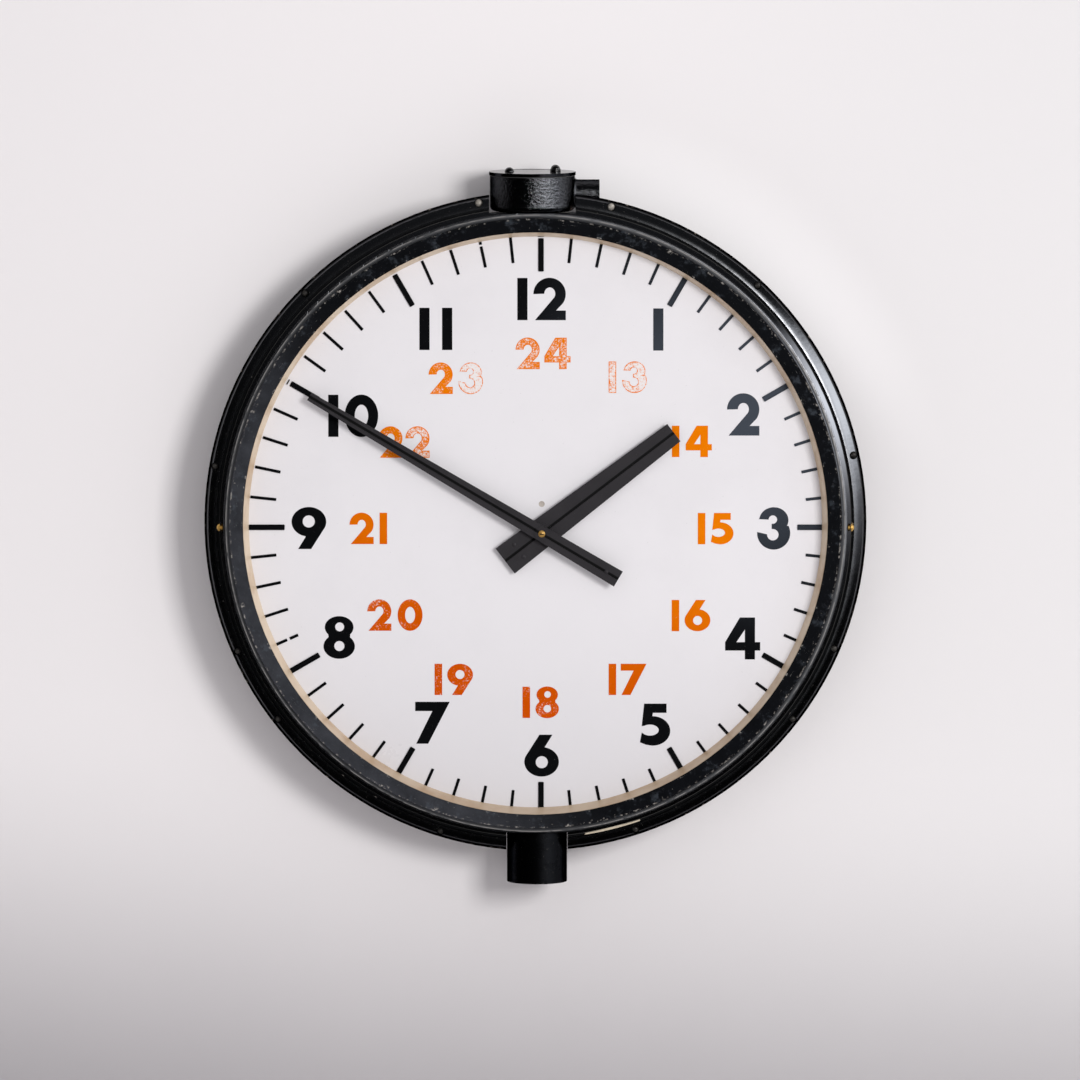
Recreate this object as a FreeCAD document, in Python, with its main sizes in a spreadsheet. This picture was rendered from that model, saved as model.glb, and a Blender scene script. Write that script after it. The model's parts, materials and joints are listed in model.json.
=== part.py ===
import FreeCAD, Part
import Sketcher
import math
import os

# Railway clock: a round slave clock for a wall, with a conduit box on top and a socket tube below.
# Frame: the origin is on the wall, on the axis of the round case. X points right as seen from the
# front, Y points into the wall and Z points up. A "depth" is a distance in front of the wall.

SIZES = (
    # Round case and the rings on its front
    ("sheet", 1.6, "thickness of the spun and pressed sheet"),
    ("case_radius", 305, "outside of the drum wall"),
    ("case_depth", 58.5, "wall to the front of the case lip"),
    ("back_corner", 10, "outside radius of the rounded back edge"),
    ("flange_overhang", 26, "flange ring past the drum wall"),
    ("flange_radius", "=case_radius + flange_overhang", "outside of the cast flange ring"),
    ("lip_inset", 0.5, "edge of the case lip in from the edge of the flange ring"),
    ("lip_radius", "=flange_radius - lip_inset", "outside of the lip turned out at the front of the drum"),
    ("rim_edge", 2, "height of the plain edge round the flange ring"),
    ("rim_wall", 2.4, "width of the flange ring's foot on the case lip"),
    ("channel_stand", 13, "outer wall of the skirt's channel past the drum wall"),
    ("channel_radius", "=case_radius + channel_stand", "outer wall of the channel for the bezel's skirt"),
    ("channel_lean", 0.5, "how far the channel's outer wall leans out"),
    ("band_inner", "=channel_radius + channel_lean", "inner edge of the flange ring's sloping band"),
    ("band_rise", 9.5, "how far the sloping band rises"),
    ("band_curve", 60, "radius of the sloping band's slight crown"),
    ("channel_sink", 3, "depth of the channel under the top of the band"),
    ("seal_height", 3.4, "squeezed height of the bezel's seal"),
    ("seal_width", 3, "width of the bezel's seal"),
    ("skirt_gap", 2.8, "open groove between the channel's wall and the skirt's foot"),
    ("skirt_foot_radius", "=channel_radius - skirt_gap", "outside of the bezel's skirt at its foot"),
    ("skirt_lean", 4.2, "how far in the skirt leans from foot to top"),
    ("skirt_top_radius", "=skirt_foot_radius - skirt_lean", "outside of the bezel's skirt at its top"),
    ("skirt_height", 9.8, "height of the bezel's skirt"),
    ("collar_gap", 2.4, "room between the collar and the top of the skirt"),
    ("collar_radius", "=skirt_top_radius - sheet - collar_gap", "outside of the collar inside the bezel"),
    ("collar_drop", 1.2, "top of the collar under the bezel"),
    ("collar_height", "=seal_height + skirt_height - collar_drop", "collar above the channel's floor"),
    ("collar_wall", 1.6, "thickness of the collar"),
    ("ring_floor", 1.6, "metal under the channel's floor"),
    ("web_wall", 1, "inner face of the ring's solid foot in from the channel's wall"),
    ("ring_web", "=channel_radius - web_wall", "inner face of the flange ring's solid foot"),
    ("bead_radius", 2, "rounding over the top of the skirt"),
    ("bead_drop", 2.4, "how far in the rounding reaches"),
    ("ledge_width", 1.8, "small ledge inside the bead"),
    ("front_step", 2.2, "front of the bezel above the ledge"),
    ("front_taper", 1.4, "how far in the front's outer corner stands from the ledge"),
    ("window_inset", 13.2, "inner edge of the bezel's flat front in from the drum wall"),
    ("window_radius", "=case_radius - window_inset", "inner edge of the bezel's flat front"),
    ("surround_slope", 5.3, "how far in the dial surround slopes from the bezel to the dial"),
    ("surround_foot_radius", "=window_radius - surround_slope", "inside of the dial surround at the dial"),
    ("surround_gap", 2, "edge of the surround's flange to the collar"),
    ("surround_edge", "=collar_radius - collar_wall - surround_gap", "edge of the surround's flange"),
    # Flange and bezel fasteners
    ("screw_circle", "=(band_inner + flange_radius) / 2", "radius of the circle of flange screws"),
    ("screw_shank", 2, "radius of a flange screw's shank"),
    ("screw_head", 3.1, "radius of a flange screw's head"),
    ("bolt_head", 3.7, "radius of the two larger heads beside the box"),
    ("head_height", 2.2, "height of a domed screw head"),
    ("bolt_right", 78.8, "right one of those heads, from the axis of the box"),
    ("bolt_left", 53.4, "left one of those heads, from the axis of the box"),
    ("dimple_gap", 0.3, "room around the larger heads in their sunk seats"),
    ("dimple_radius", "=bolt_head + dimple_gap", "radius of the sunk seat of a flange screw"),
    ("dimple_floor", 1.9, "metal under a sunk seat, above the seat ring"),
    ("screw_tail", 4, "screw standing out behind the case lip"),
    ("bezel_screw_head", 4, "radius of a brass bezel screw's head"),
    ("bezel_screw_height", 3, "height of a brass bezel screw's head"),
    ("bezel_screw_drop", 4, "brass bezel screws below the axis of the case"),
    ("screw_slot", 1.2, "width of a screwdriver slot"),
    ("slot_depth", 0.9, "depth of a screwdriver slot"),
    # Dial
    ("dial_inset", 5, "edge of the dial in from the drum wall"),
    ("dial_radius", "=case_radius - dial_inset", "edge of the dial"),
    ("dial_thickness", 4, "thickness of the dial"),
    ("gasket_thickness", 1.5, "thickness of the ring behind the dial"),
    ("seat_lap", 1.5, "seat ring inward past the foot of the surround"),
    ("seat_inner", "=surround_foot_radius - seat_lap", "inside of the seat ring and its gasket"),
    ("dial_hole", 9, "radius of the hole in the dial for the hands' pipe"),
    ("plug_radius", 3, "radius of the plugged hole in the dial"),
    ("plug_rise", 28.7, "plugged hole above the hands' axis"),
    # Wall fixing
    ("fixing_hole", 4.5, "radius of a wall fixing hole"),
    ("fixing_across", 360, "wall fixing holes, spacing across"),
    ("fixing_high", 280, "wall fixing holes, spacing up"),
    # Conduit box on top
    ("box_radius", 42.5, "outside of the box"),
    ("wall_gap", 3.5, "wall to the back of the box"),
    ("pipe_depth", "=box_radius + wall_gap", "wall to the axes of the box and the tube"),
    ("pipe_rise", 6, "box and tube stand this far off the drum in front of the lip"),
    ("notch_gap", 0.6, "gap between a ring and the box or tube that passes it"),
    ("box_shift", 3, "box left of the axis of the case"),
    ("box_wall", 4, "wall of the cast box"),
    ("box_corner", 5, "rounding under the box"),
    ("foot_gap", 6.9, "front of the box's foot to the back of the case lip"),
    ("foot_radius", "=(case_depth - sheet - back_corner - foot_gap) / 2", "radius of the foot under the box"),
    ("foot_depth", "=back_corner + foot_radius", "wall to the axis of the foot"),
    ("bush_radius", 9.5, "outside of the hollow bush through the foot"),
    ("bush_bore", 7, "bore of that bush"),
    ("bush_head", 13, "radius of the bush's head and of its nut"),
    ("nut_height", 4, "height of the bush's head and of its nut"),
    ("spout_radius", 14, "outside of the conduit spout"),
    ("spout_length", 24.5, "spout past the outside of the box"),
    ("spout_reach", "=box_radius + spout_length", "axis of the box to the end of the spout"),
    ("spout_foot", 3, "underside of the spout above the base of the box"),
    ("spout_rise", "=spout_foot + spout_radius", "axis of the spout above the base of the box"),
    ("spout_head", 4, "rim of the box above the spout"),
    ("box_height", "=spout_rise + spout_radius + spout_head", "base of the box to its rim"),
    ("spout_gap", 1.9, "front of the spout to the back of the case lip"),
    ("spout_depth", "=case_depth - sheet - spout_gap - spout_radius", "wall to the axis of the spout"),
    ("spout_bore", 9.25, "radius of the conduit thread in the spout"),
    ("spout_root", 3, "rounding where the spout meets the box"),
    ("lid_overhang", 0.9, "box lid past the outside of the box"),
    ("lid_radius", "=box_radius + lid_overhang", "outside of the box lid"),
    ("lid_thickness", 3.2, "thickness of the box lid"),
    ("lid_gasket_thickness", 1, "thickness of the gasket under the lid"),
    ("lid_screw_reach", 23, "lid screws either side of the box's axis"),
    ("lid_screw_head", 4.8, "radius of a lid screw's head"),
    ("lid_screw_height", 4.2, "height of a lid screw's head"),
    ("loose_screw_rise", 2.6, "right lid screw stands this far out of the lid"),
    ("lid_screw_length", 11, "length of a lid screw under its head"),
    ("lid_lug", 6, "half the width of the lugs that take the lid screws"),
    ("lid_lug_height", 8, "height of those lugs under the rim"),
    ("terminal_length", 28, "length of the terminal block"),
    ("terminal_width", 14, "width of the terminal block"),
    ("terminal_height", 12, "height of the terminal block"),
    ("terminal_gap", 3.5, "width of the slot between the two terminals"),
    # Socket tube below
    ("tube_radius", 30.15, "outside of the socket tube"),
    ("tube_wall", 3.65, "wall of the socket tube"),
    ("tube_bore", "=tube_radius - tube_wall", "bore of the socket tube"),
    ("tube_floor", 5, "closed end of the socket, next to the case"),
    ("tube_shift", 1.6, "tube right of the axis of the case"),
    ("tube_stand", 58, "tube past the drum wall"),
    ("tube_reach", "=case_radius + tube_stand", "axis of the case to the end of the tube"),
    # Movement frame
    ("arbor_right", 6.3, "axis of the hands right of the axis of the case"),
    ("arbor_drop", 10, "axis of the hands below the axis of the case"),
    ("motion_gap", 16, "room for the motion work between front plate and dial"),
    ("plate", 2.5, "thickness of the movement plates"),
    ("thread_radius", 2, "radius of the small threads and studs"),
    ("nut_radius", 4.2, "radius of a small nut across its corners"),
    ("small_nut", 3, "height of a small nut"),
    ("running_gap", 0.05, "radial clearance of a shaft in its hole"),
    ("hole_gap", 0.15, "radial clearance of a screw or stud in its hole"),
    # Going train and motion work
    ("arbor_radius", 3.5, "radius of the minute arbor"),
    ("arbor_tail", 3, "minute arbor standing out behind the back plate"),
    ("bush_wall", 3, "wall of the arbor's bearing bushes"),
    ("bush_flange", 2, "flange of a bearing bush past its wall"),
    ("flange_height", 1, "thickness of a bearing bush's flange"),
    ("ratchet_radius", 32, "tips of the ratchet wheel's teeth"),
    ("tooth_depth", 0.7, "depth of a ratchet tooth"),
    ("ratchet_offset", 14, "ratchet wheel in front of the back plate"),
    ("wheel_thickness", 2, "thickness of the wheels"),
    ("hub_radius", 8, "radius of the ratchet wheel's hub"),
    ("hub_length", 6, "length of the ratchet wheel's hub behind the wheel"),
    ("gear_module", 1, "pitch diameter of a gear over its teeth"),
    ("gear_slack", 0.1, "sideways play of a gear tooth"),
    ("cannon_length", 5, "length of the cannon pinion"),
    ("cannon_gap", 0.8, "gap between the front bush and the cannon pinion"),
    ("pinion_length", 7, "length of the minute wheel's pinion"),
    ("pipe_wall", 2.4, "wall of the hour pipe"),
    ("pipe_gap", 0.8, "gap between the cannon pinion and the hour pipe"),
    # Electromagnet
    ("core_radius", 5, "radius of the iron cores"),
    ("coil_radius", 11.5, "radius of the bobbin cheeks"),
    ("coil_gap", 2.5, "half the gap between the two bobbins"),
    ("coil_spread", "=coil_radius + coil_gap", "coil axes either side of the hands' axis"),
    ("winding_inset", 0.7, "windings in from the edge of the cheeks"),
    ("winding_radius", "=coil_radius - winding_inset", "outside of the windings"),
    ("cheek", 2, "thickness of a bobbin cheek"),
    ("sleeve", 0.8, "wall of a bobbin's sleeve"),
    ("core_length", 36, "length of the iron cores above the yoke"),
    ("yoke_height", 8, "height of the yoke"),
    ("yoke_overhang", 8, "yoke past the core axes"),
    ("plate_gap", 1.4, "bobbins to the back plate"),
    ("magnet_offset", "=coil_radius + plate_gap", "core axes in front of the back plate"),
    ("yoke_wall", 2.1, "yoke past the front of the cores"),
    ("yoke_depth", "=magnet_offset + core_radius + yoke_wall", "yoke from the back plate to its front"),
    # Armature
    ("rocker_right", 38, "armature pivot right of the hands' axis"),
    ("rocker_height", 4, "height of the armature bar"),
    ("rocker_gap", 6, "armature bar to the ratchet wheel"),
    ("rocker_drop", "=ratchet_radius + rocker_gap + rocker_height / 2", "armature pivot below the axis"),
    ("pole_gap", 2.2, "armature bar to the pole faces"),
    ("pole_drop", "=rocker_drop + rocker_height / 2 + pole_gap", "hands' axis to the pole faces"),
    ("rocker_width", 12, "width of the armature bar"),
    ("rocker_left", 46, "hands' axis to the left end of the armature"),
    ("rocker_end", 18, "armature past its pivot"),
    ("rocker_tail", "=rocker_right + rocker_end", "hands' axis to the right end of the armature"),
    ("rocker_hub", 5, "radius of the armature's hub"),
    ("lug_thickness", 3, "thickness of the lug that carries the pawl"),
    ("lug_height", 12, "lug above the armature bar"),
    ("pawl_thickness", 0.5, "thickness of the pawl and click blades"),
    ("stop_gap", 0.5, "armature bar to its stop"),
    ("stop_reach", 30, "armature stop left of the hands' axis"),
    ("spring_radius", 2.5, "outside of the return spring"),
    ("spring_inset", 5, "return spring in from the end of the armature"),
    ("spring_reach", "=rocker_tail - spring_inset", "return spring right of the hands' axis"),
    ("spring_length", 24, "length of the return spring"),
    ("spring_wire", 0.8, "thickness of the return spring's wire"),
    ("click_left", 26, "click post left of the hands' axis"),
    ("click_rise", 6, "click post above the tips of the ratchet teeth"),
    # Plates, posts and pillars around the train and the electromagnet
    ("front_gap", 0.6, "bobbins to the front plate"),
    ("pillar_length", "=magnet_offset + coil_radius + front_gap", "distance between the movement plates"),
    ("left_margin", 8, "plates past the left end of the armature"),
    ("right_margin", 6, "plates past the right end of the armature"),
    ("top_margin", 8, "plates above the click post"),
    ("bottom_margin", 7.8, "plates below the yoke"),
    ("plate_left", "=rocker_left + left_margin", "hands' axis to the left edge of the plates"),
    ("plate_right", "=rocker_tail + right_margin", "hands' axis to the right edge of the plates"),
    ("plate_top", "=ratchet_radius + click_rise + top_margin", "hands' axis to the top edge of the plates"),
    ("plate_bottom", "=pole_drop + core_length + yoke_height + bottom_margin", "axis to the bottom edge"),
    ("pillar_radius", 4, "radius of a plate pillar"),
    ("pillar_inset", 6.5, "pillar axes in from the edges of the plates"),
    ("post_radius", 5, "radius of a post on the back of the case"),
    ("post_rise", 14, "upper posts above the hands' axis"),
    ("post_fall", 62, "lower posts below the hands' axis"),
    # Hands
    ("hand_sheet", 1.6, "thickness of the hands"),
    ("hour_gap", 5.4, "dial to the back of the hour hand"),
    ("hand_gap", 4.4, "front of the hour hand to the back of the minute hand"),
    ("hour_angle", 52.6, "hour hand clockwise from twelve, in degrees"),
    ("hour_tip", 166, "hour hand, axis to tip"),
    ("hour_tail", 46, "hour hand, axis to tail"),
    ("hour_tip_width", 21.7, "hour hand, width at the tip"),
    ("hour_tail_width", 31.6, "hour hand, width at the tail"),
    ("minute_angle", 300.7, "minute hand clockwise from twelve, in degrees"),
    ("tip_gap", 17, "tip of the minute hand to the foot of the dial surround"),
    ("minute_tip", "=surround_foot_radius - tip_gap", "minute hand, axis to tip"),
    ("minute_tail", 89, "minute hand, axis to tail"),
    ("minute_tip_width", 8.7, "minute hand, width at the tip"),
    ("minute_tail_width", 17.4, "minute hand, width at the tail"),
    ("groove_width", 2.6, "width of the groove pressed along a hand"),
    ("groove_depth", 0.7, "depth of the groove pressed along a hand"),
    ("hour_pad", 11, "radius of the raised pad on the hour hand"),
    ("minute_pad", 7.2, "radius of the raised pad on the minute hand"),
    ("pad_height", 0.8, "height of those pads"),
    ("boss_gap", 1.2, "gap between a hand's boss and what lies behind it"),
    ("hour_boss_wall", 4, "wall of the hour hand's boss"),
    ("minute_boss_wall", 4.5, "wall of the minute hand's boss"),
    ("weight_thickness", 2, "thickness of the counterweights behind the tails"),
    ("weight_inset", 2.5, "counterweights in from the edges of the tails"),
    ("hour_weight_start", 17, "hour counterweight behind the axis"),
    ("minute_weight_length", 27, "minute counterweight's start from the end of the tail"),
    ("minute_weight_start", "=minute_tail - minute_weight_length", "minute counterweight behind the axis"),
    ("hour_rivet_inset", 17, "hour hand's rivets in from the end of the tail"),
    ("hour_rivet_reach", "=hour_tail - hour_rivet_inset", "hour hand's rivets behind the axis"),
    ("hour_rivet_spread", 7.7, "hour hand's rivets either side of the groove"),
    ("minute_rivet_inset", 14, "minute hand's rivet in from the end of the tail"),
    ("minute_rivet_reach", "=minute_tail - minute_rivet_inset", "minute hand's rivet behind the axis"),
    ("rivet_radius", 1.4, "radius of a rivet"),
    ("rivet_head", 2.2, "radius of a rivet's head"),
    ("rivet_height", 0.6, "height of a rivet's head"),
    ("hand_screw_head", 3.5, "radius of the screw in the middle of the hands"),
    ("hand_screw_shank", 1.6, "radius of that screw's shank"),
    ("hand_screw_length", 9, "length of that screw under its head"),
)

# Flange screws, anticlockwise from the right as seen from the front; the box and the tube pass between them
SCREW_ANGLES = (12, 47, 135, 170, 203.5, 217.5, 253, 288, 322.5, 337)

RATCHET_TEETH = 120
CANNON_TEETH = 15
MINUTE_WHEEL_TEETH = 45
PINION_TEETH = 12
HOUR_WHEEL_TEETH = 48
PRESSURE_ANGLE = math.radians(20)
# Round openings between spokes, as shares of the wheel's radius: their circle and their own radius
SPOKE_CIRCLE = 0.56
SPOKE_OPENING = 0.24
STUD_ANGLE = math.radians(-45)
SPRING_TURNS = 8
WIRE_SIDES = 6
PAWL_TOOTH_ANGLE = 186
CLICK_TOOTH_ANGLE = 90

document = FreeCAD.newDocument("railway_clock")
sheet = document.addObject("Spreadsheet::Sheet", "sizes")
for row, (alias, amount, note) in enumerate(SIZES, start=1):
    sheet.set(f"A{row}", note)
    sheet.set(f"B{row}", str(amount))
    sheet.setAlias(f"B{row}", alias)
document.recompute()

# Depths in front of the wall, and heights, that several pieces share
LIP_BACK = "(sizes.case_depth - sizes.sheet)"
LIP_FRONT = "sizes.case_depth"
SEAT_FRONT = f"({LIP_FRONT} + sizes.sheet)"
DIAL_BACK = f"({SEAT_FRONT} + sizes.gasket_thickness)"
DIAL_FRONT = f"({DIAL_BACK} + sizes.dial_thickness)"
RIM_FRONT = f"({LIP_FRONT} + sizes.rim_edge)"
BAND_TOP = f"({RIM_FRONT} + sizes.band_rise)"
CHANNEL_FLOOR = f"({BAND_TOP} - sizes.channel_sink)"
RING_UNDERSIDE = f"({CHANNEL_FLOOR} - sizes.ring_floor)"
COLLAR_TOP = f"({CHANNEL_FLOOR} + sizes.collar_height)"
COLLAR_INNER = "(sizes.collar_radius - sizes.collar_wall)"
SKIRT_FOOT = f"({CHANNEL_FLOOR} + sizes.seal_height)"
SKIRT_TOP = f"({SKIRT_FOOT} + sizes.skirt_height)"
LEDGE = f"({SKIRT_TOP} + sizes.sheet)"
BEZEL_FRONT = f"({LEDGE} + sizes.front_step)"
BEZEL_BACK = f"({BEZEL_FRONT} - sizes.sheet)"
SKIRT_MIDDLE = f"({SKIRT_FOOT} + sizes.skirt_height / 2)"

BOX_BASE = "(sizes.case_radius + sizes.pipe_rise)"
BOX_FLOOR = f"({BOX_BASE} + sizes.box_wall)"
BOX_RIM = f"({BOX_BASE} + sizes.box_height)"
LID_BACK = f"({BOX_RIM} + sizes.lid_gasket_thickness)"
LID_TOP = f"({LID_BACK} + sizes.lid_thickness)"
DRUM_INNER = "(sizes.case_radius - sizes.sheet)"

FRONT_PLATE_FRONT = f"({DIAL_BACK} - sizes.motion_gap)"
FRONT_PLATE_BACK = f"({FRONT_PLATE_FRONT} - sizes.plate)"
BACK_PLATE_FRONT = f"({FRONT_PLATE_BACK} - sizes.pillar_length)"
BACK_PLATE_BACK = f"({BACK_PLATE_FRONT} - sizes.plate)"
RATCHET_BACK = f"({BACK_PLATE_FRONT} + sizes.ratchet_offset)"
RATCHET_FRONT = f"({RATCHET_BACK} + sizes.wheel_thickness)"
MAGNET_DEPTH = f"({BACK_PLATE_FRONT} + sizes.magnet_offset)"
FRONT_BUSH_FRONT = f"({FRONT_PLATE_FRONT} + sizes.flange_height)"
CANNON_BACK = f"({FRONT_BUSH_FRONT} + sizes.cannon_gap)"
CANNON_FRONT = f"({CANNON_BACK} + sizes.cannon_length)"
MINUTE_WHEEL_BACK = f"({CANNON_BACK} + (sizes.cannon_length - sizes.wheel_thickness) / 2)"
PINION_BACK = f"({MINUTE_WHEEL_BACK} + sizes.wheel_thickness)"
PINION_FRONT = f"({PINION_BACK} + sizes.pinion_length)"
PIPE_BACK = f"({CANNON_FRONT} + sizes.pipe_gap)"
HOUR_WHEEL_BACK = f"({PIPE_BACK} + sizes.flange_height)"

HOUR_HAND_BACK = f"({DIAL_FRONT} + sizes.hour_gap)"
HOUR_HAND_FRONT = f"({HOUR_HAND_BACK} + sizes.hand_sheet)"
MINUTE_HAND_BACK = f"({HOUR_HAND_FRONT} + sizes.hand_gap)"
MINUTE_HAND_FRONT = f"({MINUTE_HAND_BACK} + sizes.hand_sheet)"
MINUTE_PAD_FRONT = f"({MINUTE_HAND_FRONT} + sizes.pad_height)"
PIPE_OUTER = "(sizes.arbor_radius + sizes.running_gap + sizes.pipe_wall)"

ROCKER_TOP = "(-sizes.rocker_drop + sizes.rocker_height / 2)"
ROCKER_UNDERSIDE = "(-sizes.rocker_drop - sizes.rocker_height / 2)"
YOKE_TOP = "(-sizes.pole_drop - sizes.core_length)"
STUD_DISTANCE = f"(sizes.gear_module * {(CANNON_TEETH + MINUTE_WHEEL_TEETH) / 2})"

TOWARD = {
    "front": FreeCAD.Rotation(FreeCAD.Vector(1, 0, 0), 90),
    "back": FreeCAD.Rotation(FreeCAD.Vector(1, 0, 0), -90),
    "up": FreeCAD.Rotation(),
    "down": FreeCAD.Rotation(FreeCAD.Vector(1, 0, 0), 180),
    "right": FreeCAD.Rotation(FreeCAD.Vector(0, 1, 0), 90),
    "left": FreeCAD.Rotation(FreeCAD.Vector(0, 1, 0), -90),
}

nodes = {}


def value(expression):
    """The number that an expression on the sheet has now."""
    return float(sheet.evalExpression(expression))


def keep(item, label):
    """Name a finished sub-part, which is then written to its own file."""
    item.Label = label
    nodes[label] = item
    return item


def put(item, across, depth, height):
    """Bind an object's place to the sheet."""
    item.setExpression("Placement.Base.x", across)
    item.setExpression("Placement.Base.y", f"-({depth})")
    item.setExpression("Placement.Base.z", height)


def at_arbor(item, depth="0"):
    """Place an object that is drawn about the axis of the hands."""
    put(item, "sizes.arbor_right", depth, "-sizes.arbor_drop")


# Sketches and the features made from them

def new_sketch(body, role, level=None):
    """A sketch on one of the body's own planes, or at a level above that plane."""
    sketch = body.newObject("Sketcher::SketchObject", f"{body.Name}_sketch")
    plane = [feature for feature in body.Origin.OriginFeatures if feature.Role == role][0]
    sketch.AttachmentSupport = [(plane, "")]
    sketch.MapMode = "FlatFace"
    if level is not None:
        sketch.setExpression("AttachmentOffset.Base.z", level)
    return sketch


def fix_point(sketch, edge, point, across, along):
    """Hold a sketch point at its distances from the sketch's origin."""
    for kind, expression in (("DistanceX", across), ("DistanceY", along)):
        amount = value(expression)
        index = sketch.addConstraint(Sketcher.Constraint(kind, -1, 1, edge, point, amount))
        sketch.setExpression(f"Constraints[{index}]", expression)


def fix_radius(sketch, edge, expression):
    """Hold the radius of a sketch arc or circle."""
    index = sketch.addConstraint(Sketcher.Constraint("Radius", edge, value(expression)))
    sketch.setExpression(f"Constraints[{index}]", expression)


def arc_between(start, end, radius, clockwise):
    """The shorter arc of a radius from one point to another."""
    chord = end - start
    side = FreeCAD.Vector(-chord.y, chord.x, 0).normalize()
    rise = math.sqrt(max(radius ** 2 - (chord.Length / 2) ** 2, 0))
    centre = start + chord * 0.5 + side * (-rise if clockwise else rise)
    first, last = (end, start) if clockwise else (start, end)
    turn = [math.atan2(point.y - centre.y, point.x - centre.x) for point in (first, last)]
    circle = Part.Circle(centre, FreeCAD.Vector(0, 0, 1), radius)
    return Part.ArcOfCircle(circle, turn[0], turn[1])


def trace(sketch, corners):
    """Draw a closed outline through corners of two expressions.

    A third entry, a radius, makes the edge that arrives at the corner an arc; a fourth entry that is
    true bends it clockwise.
    """
    count = len(corners)
    points = [FreeCAD.Vector(value(corner[0]), value(corner[1]), 0) for corner in corners]
    starts = []
    for index in range(count):
        target = corners[(index + 1) % count]
        start, end = points[index], points[(index + 1) % count]
        if len(target) > 2:
            clockwise = len(target) > 3 and target[3]
            sketch.addGeometry(arc_between(start, end, value(target[2]), clockwise))
            starts.append(2 if clockwise else 1)
        else:
            sketch.addGeometry(Part.LineSegment(start, end))
            starts.append(1)
    for index in range(count):
        following = (index + 1) % count
        sketch.addConstraint(
            Sketcher.Constraint("Coincident", index, 3 - starts[index], following, starts[following])
        )
    for index, corner in enumerate(corners):
        fix_point(sketch, index, starts[index], corner[0], corner[1])
    for index in range(count):
        target = corners[(index + 1) % count]
        if len(target) > 2:
            fix_radius(sketch, index, target[2])


def draw_circles(sketch, circles):
    """Draw circles, each given by its centre and radius."""
    for across, along, radius in circles:
        centre = FreeCAD.Vector(value(across), value(along), 0)
        edge = sketch.addGeometry(Part.Circle(centre, FreeCAD.Vector(0, 0, 1), value(radius)))
        fix_point(sketch, edge, 3, across, along)
        fix_radius(sketch, edge, radius)


def pad(body, sketch, length, backward=False):
    """Extrude a sketch along its normal, or against it."""
    feature = body.newObject("PartDesign::Pad", f"{body.Name}_pad")
    feature.Profile = sketch
    feature.Reversed = backward
    feature.setExpression("Length", length)
    document.recompute()


def pocket(body, sketch, length=None, forward=True):
    """Cut a sketch's area along its normal, or against it, to a length or right through."""
    before = body.Shape.Volume
    feature = body.newObject("PartDesign::Pocket", f"{body.Name}_pocket")
    feature.Profile = sketch
    feature.Reversed = forward
    if length is None:
        feature.Type = "ThroughAll"
    else:
        feature.setExpression("Length", length)
    document.recompute()
    if body.Shape.Volume >= before:
        raise RuntimeError(f"{feature.Name} cuts nothing")


def revolve(body, sketch):
    """Turn a sketch about its own vertical axis."""
    feature = body.newObject("PartDesign::Revolution", f"{body.Name}_revolution")
    feature.Profile = sketch
    feature.ReferenceAxis = (sketch, ["V_Axis"])
    feature.Angle = 360
    document.recompute()


def new_body(label):
    return keep(document.addObject("PartDesign::Body", label), label)


def turned_ring(label, corners):
    """A ring about the axis of the case, from corners of radius and depth."""
    body = new_body(label)
    sketch = new_sketch(body, "XY_Plane")
    trace(sketch, [(corner[0], f"-({corner[1]})", *corner[2:]) for corner in corners])
    revolve(body, sketch)
    return body


def flat_plate(label, corners, level, thickness):
    """A plate parallel to the dial, from its outline, the depth of its back and its thickness."""
    body = new_body(label)
    sketch = new_sketch(body, "XZ_Plane", level)
    trace(sketch, corners)
    pad(body, sketch, thickness)
    return body


def drill(body, circles, level="0", length=None):
    """Cut round holes toward the front, from a level."""
    sketch = new_sketch(body, "XZ_Plane", level)
    draw_circles(sketch, circles)
    pocket(body, sketch, length)


def ring_notches(body):
    """Cut a ring away where the box and the tube pass it: round behind their axis, straight in front."""
    level = "sizes.case_radius + sizes.pipe_rise - sizes.notch_gap"
    front = f"-{BEZEL_FRONT} - sizes.notch_gap"
    for middle, radius, height, upward in (
        ("-sizes.box_shift", "sizes.box_radius", level, True),
        ("sizes.tube_shift", "sizes.tube_radius", f"-({level})", False),
    ):
        half = f"({radius} + sizes.notch_gap)"
        slot = new_sketch(body, "XY_Plane", height)
        trace(slot, [
            (f"{middle} - {half}", "-sizes.pipe_depth", half),
            (f"{middle} - {half}", front),
            (f"{middle} + {half}", front),
            (f"{middle} + {half}", "-sizes.pipe_depth"),
            (middle, f"-sizes.pipe_depth + {half}", half),
        ])
        pocket(body, slot, forward=upward)


# Primitives and booleans

def rod(name, radius, length, start, toward):
    """A cylinder from a start point (across, depth, height) in one of the named directions."""
    item = document.addObject("Part::Cylinder", name)
    item.setExpression("Radius", radius)
    item.setExpression("Height", length)
    item.Placement.Rotation = TOWARD[toward]
    put(item, *start)
    return item


def block(name, width, thickness, height, start):
    """A box that grows right, toward the wall and up from its start corner."""
    item = document.addObject("Part::Box", name)
    item.setExpression("Length", width)
    item.setExpression("Width", thickness)
    item.setExpression("Height", height)
    put(item, *start)
    return item


def hexagon(name, radius, length, start, toward):
    """A hexagonal prism from a start point in one of the named directions."""
    item = document.addObject("Part::Prism", name)
    item.Polygon = 6
    item.setExpression("Circumradius", radius)
    item.setExpression("Height", length)
    item.Placement.Rotation = TOWARD[toward]
    put(item, *start)
    return item


def fuse(name, *items):
    joined = document.addObject("Part::MultiFuse", name)
    joined.Shapes = list(items)
    return joined


def cut(name, base, *tools):
    result = document.addObject("Part::Cut", name)
    result.Base = base
    result.Tool = tools[0] if len(tools) == 1 else fuse(f"{name}_tools", *tools)
    return result


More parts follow.
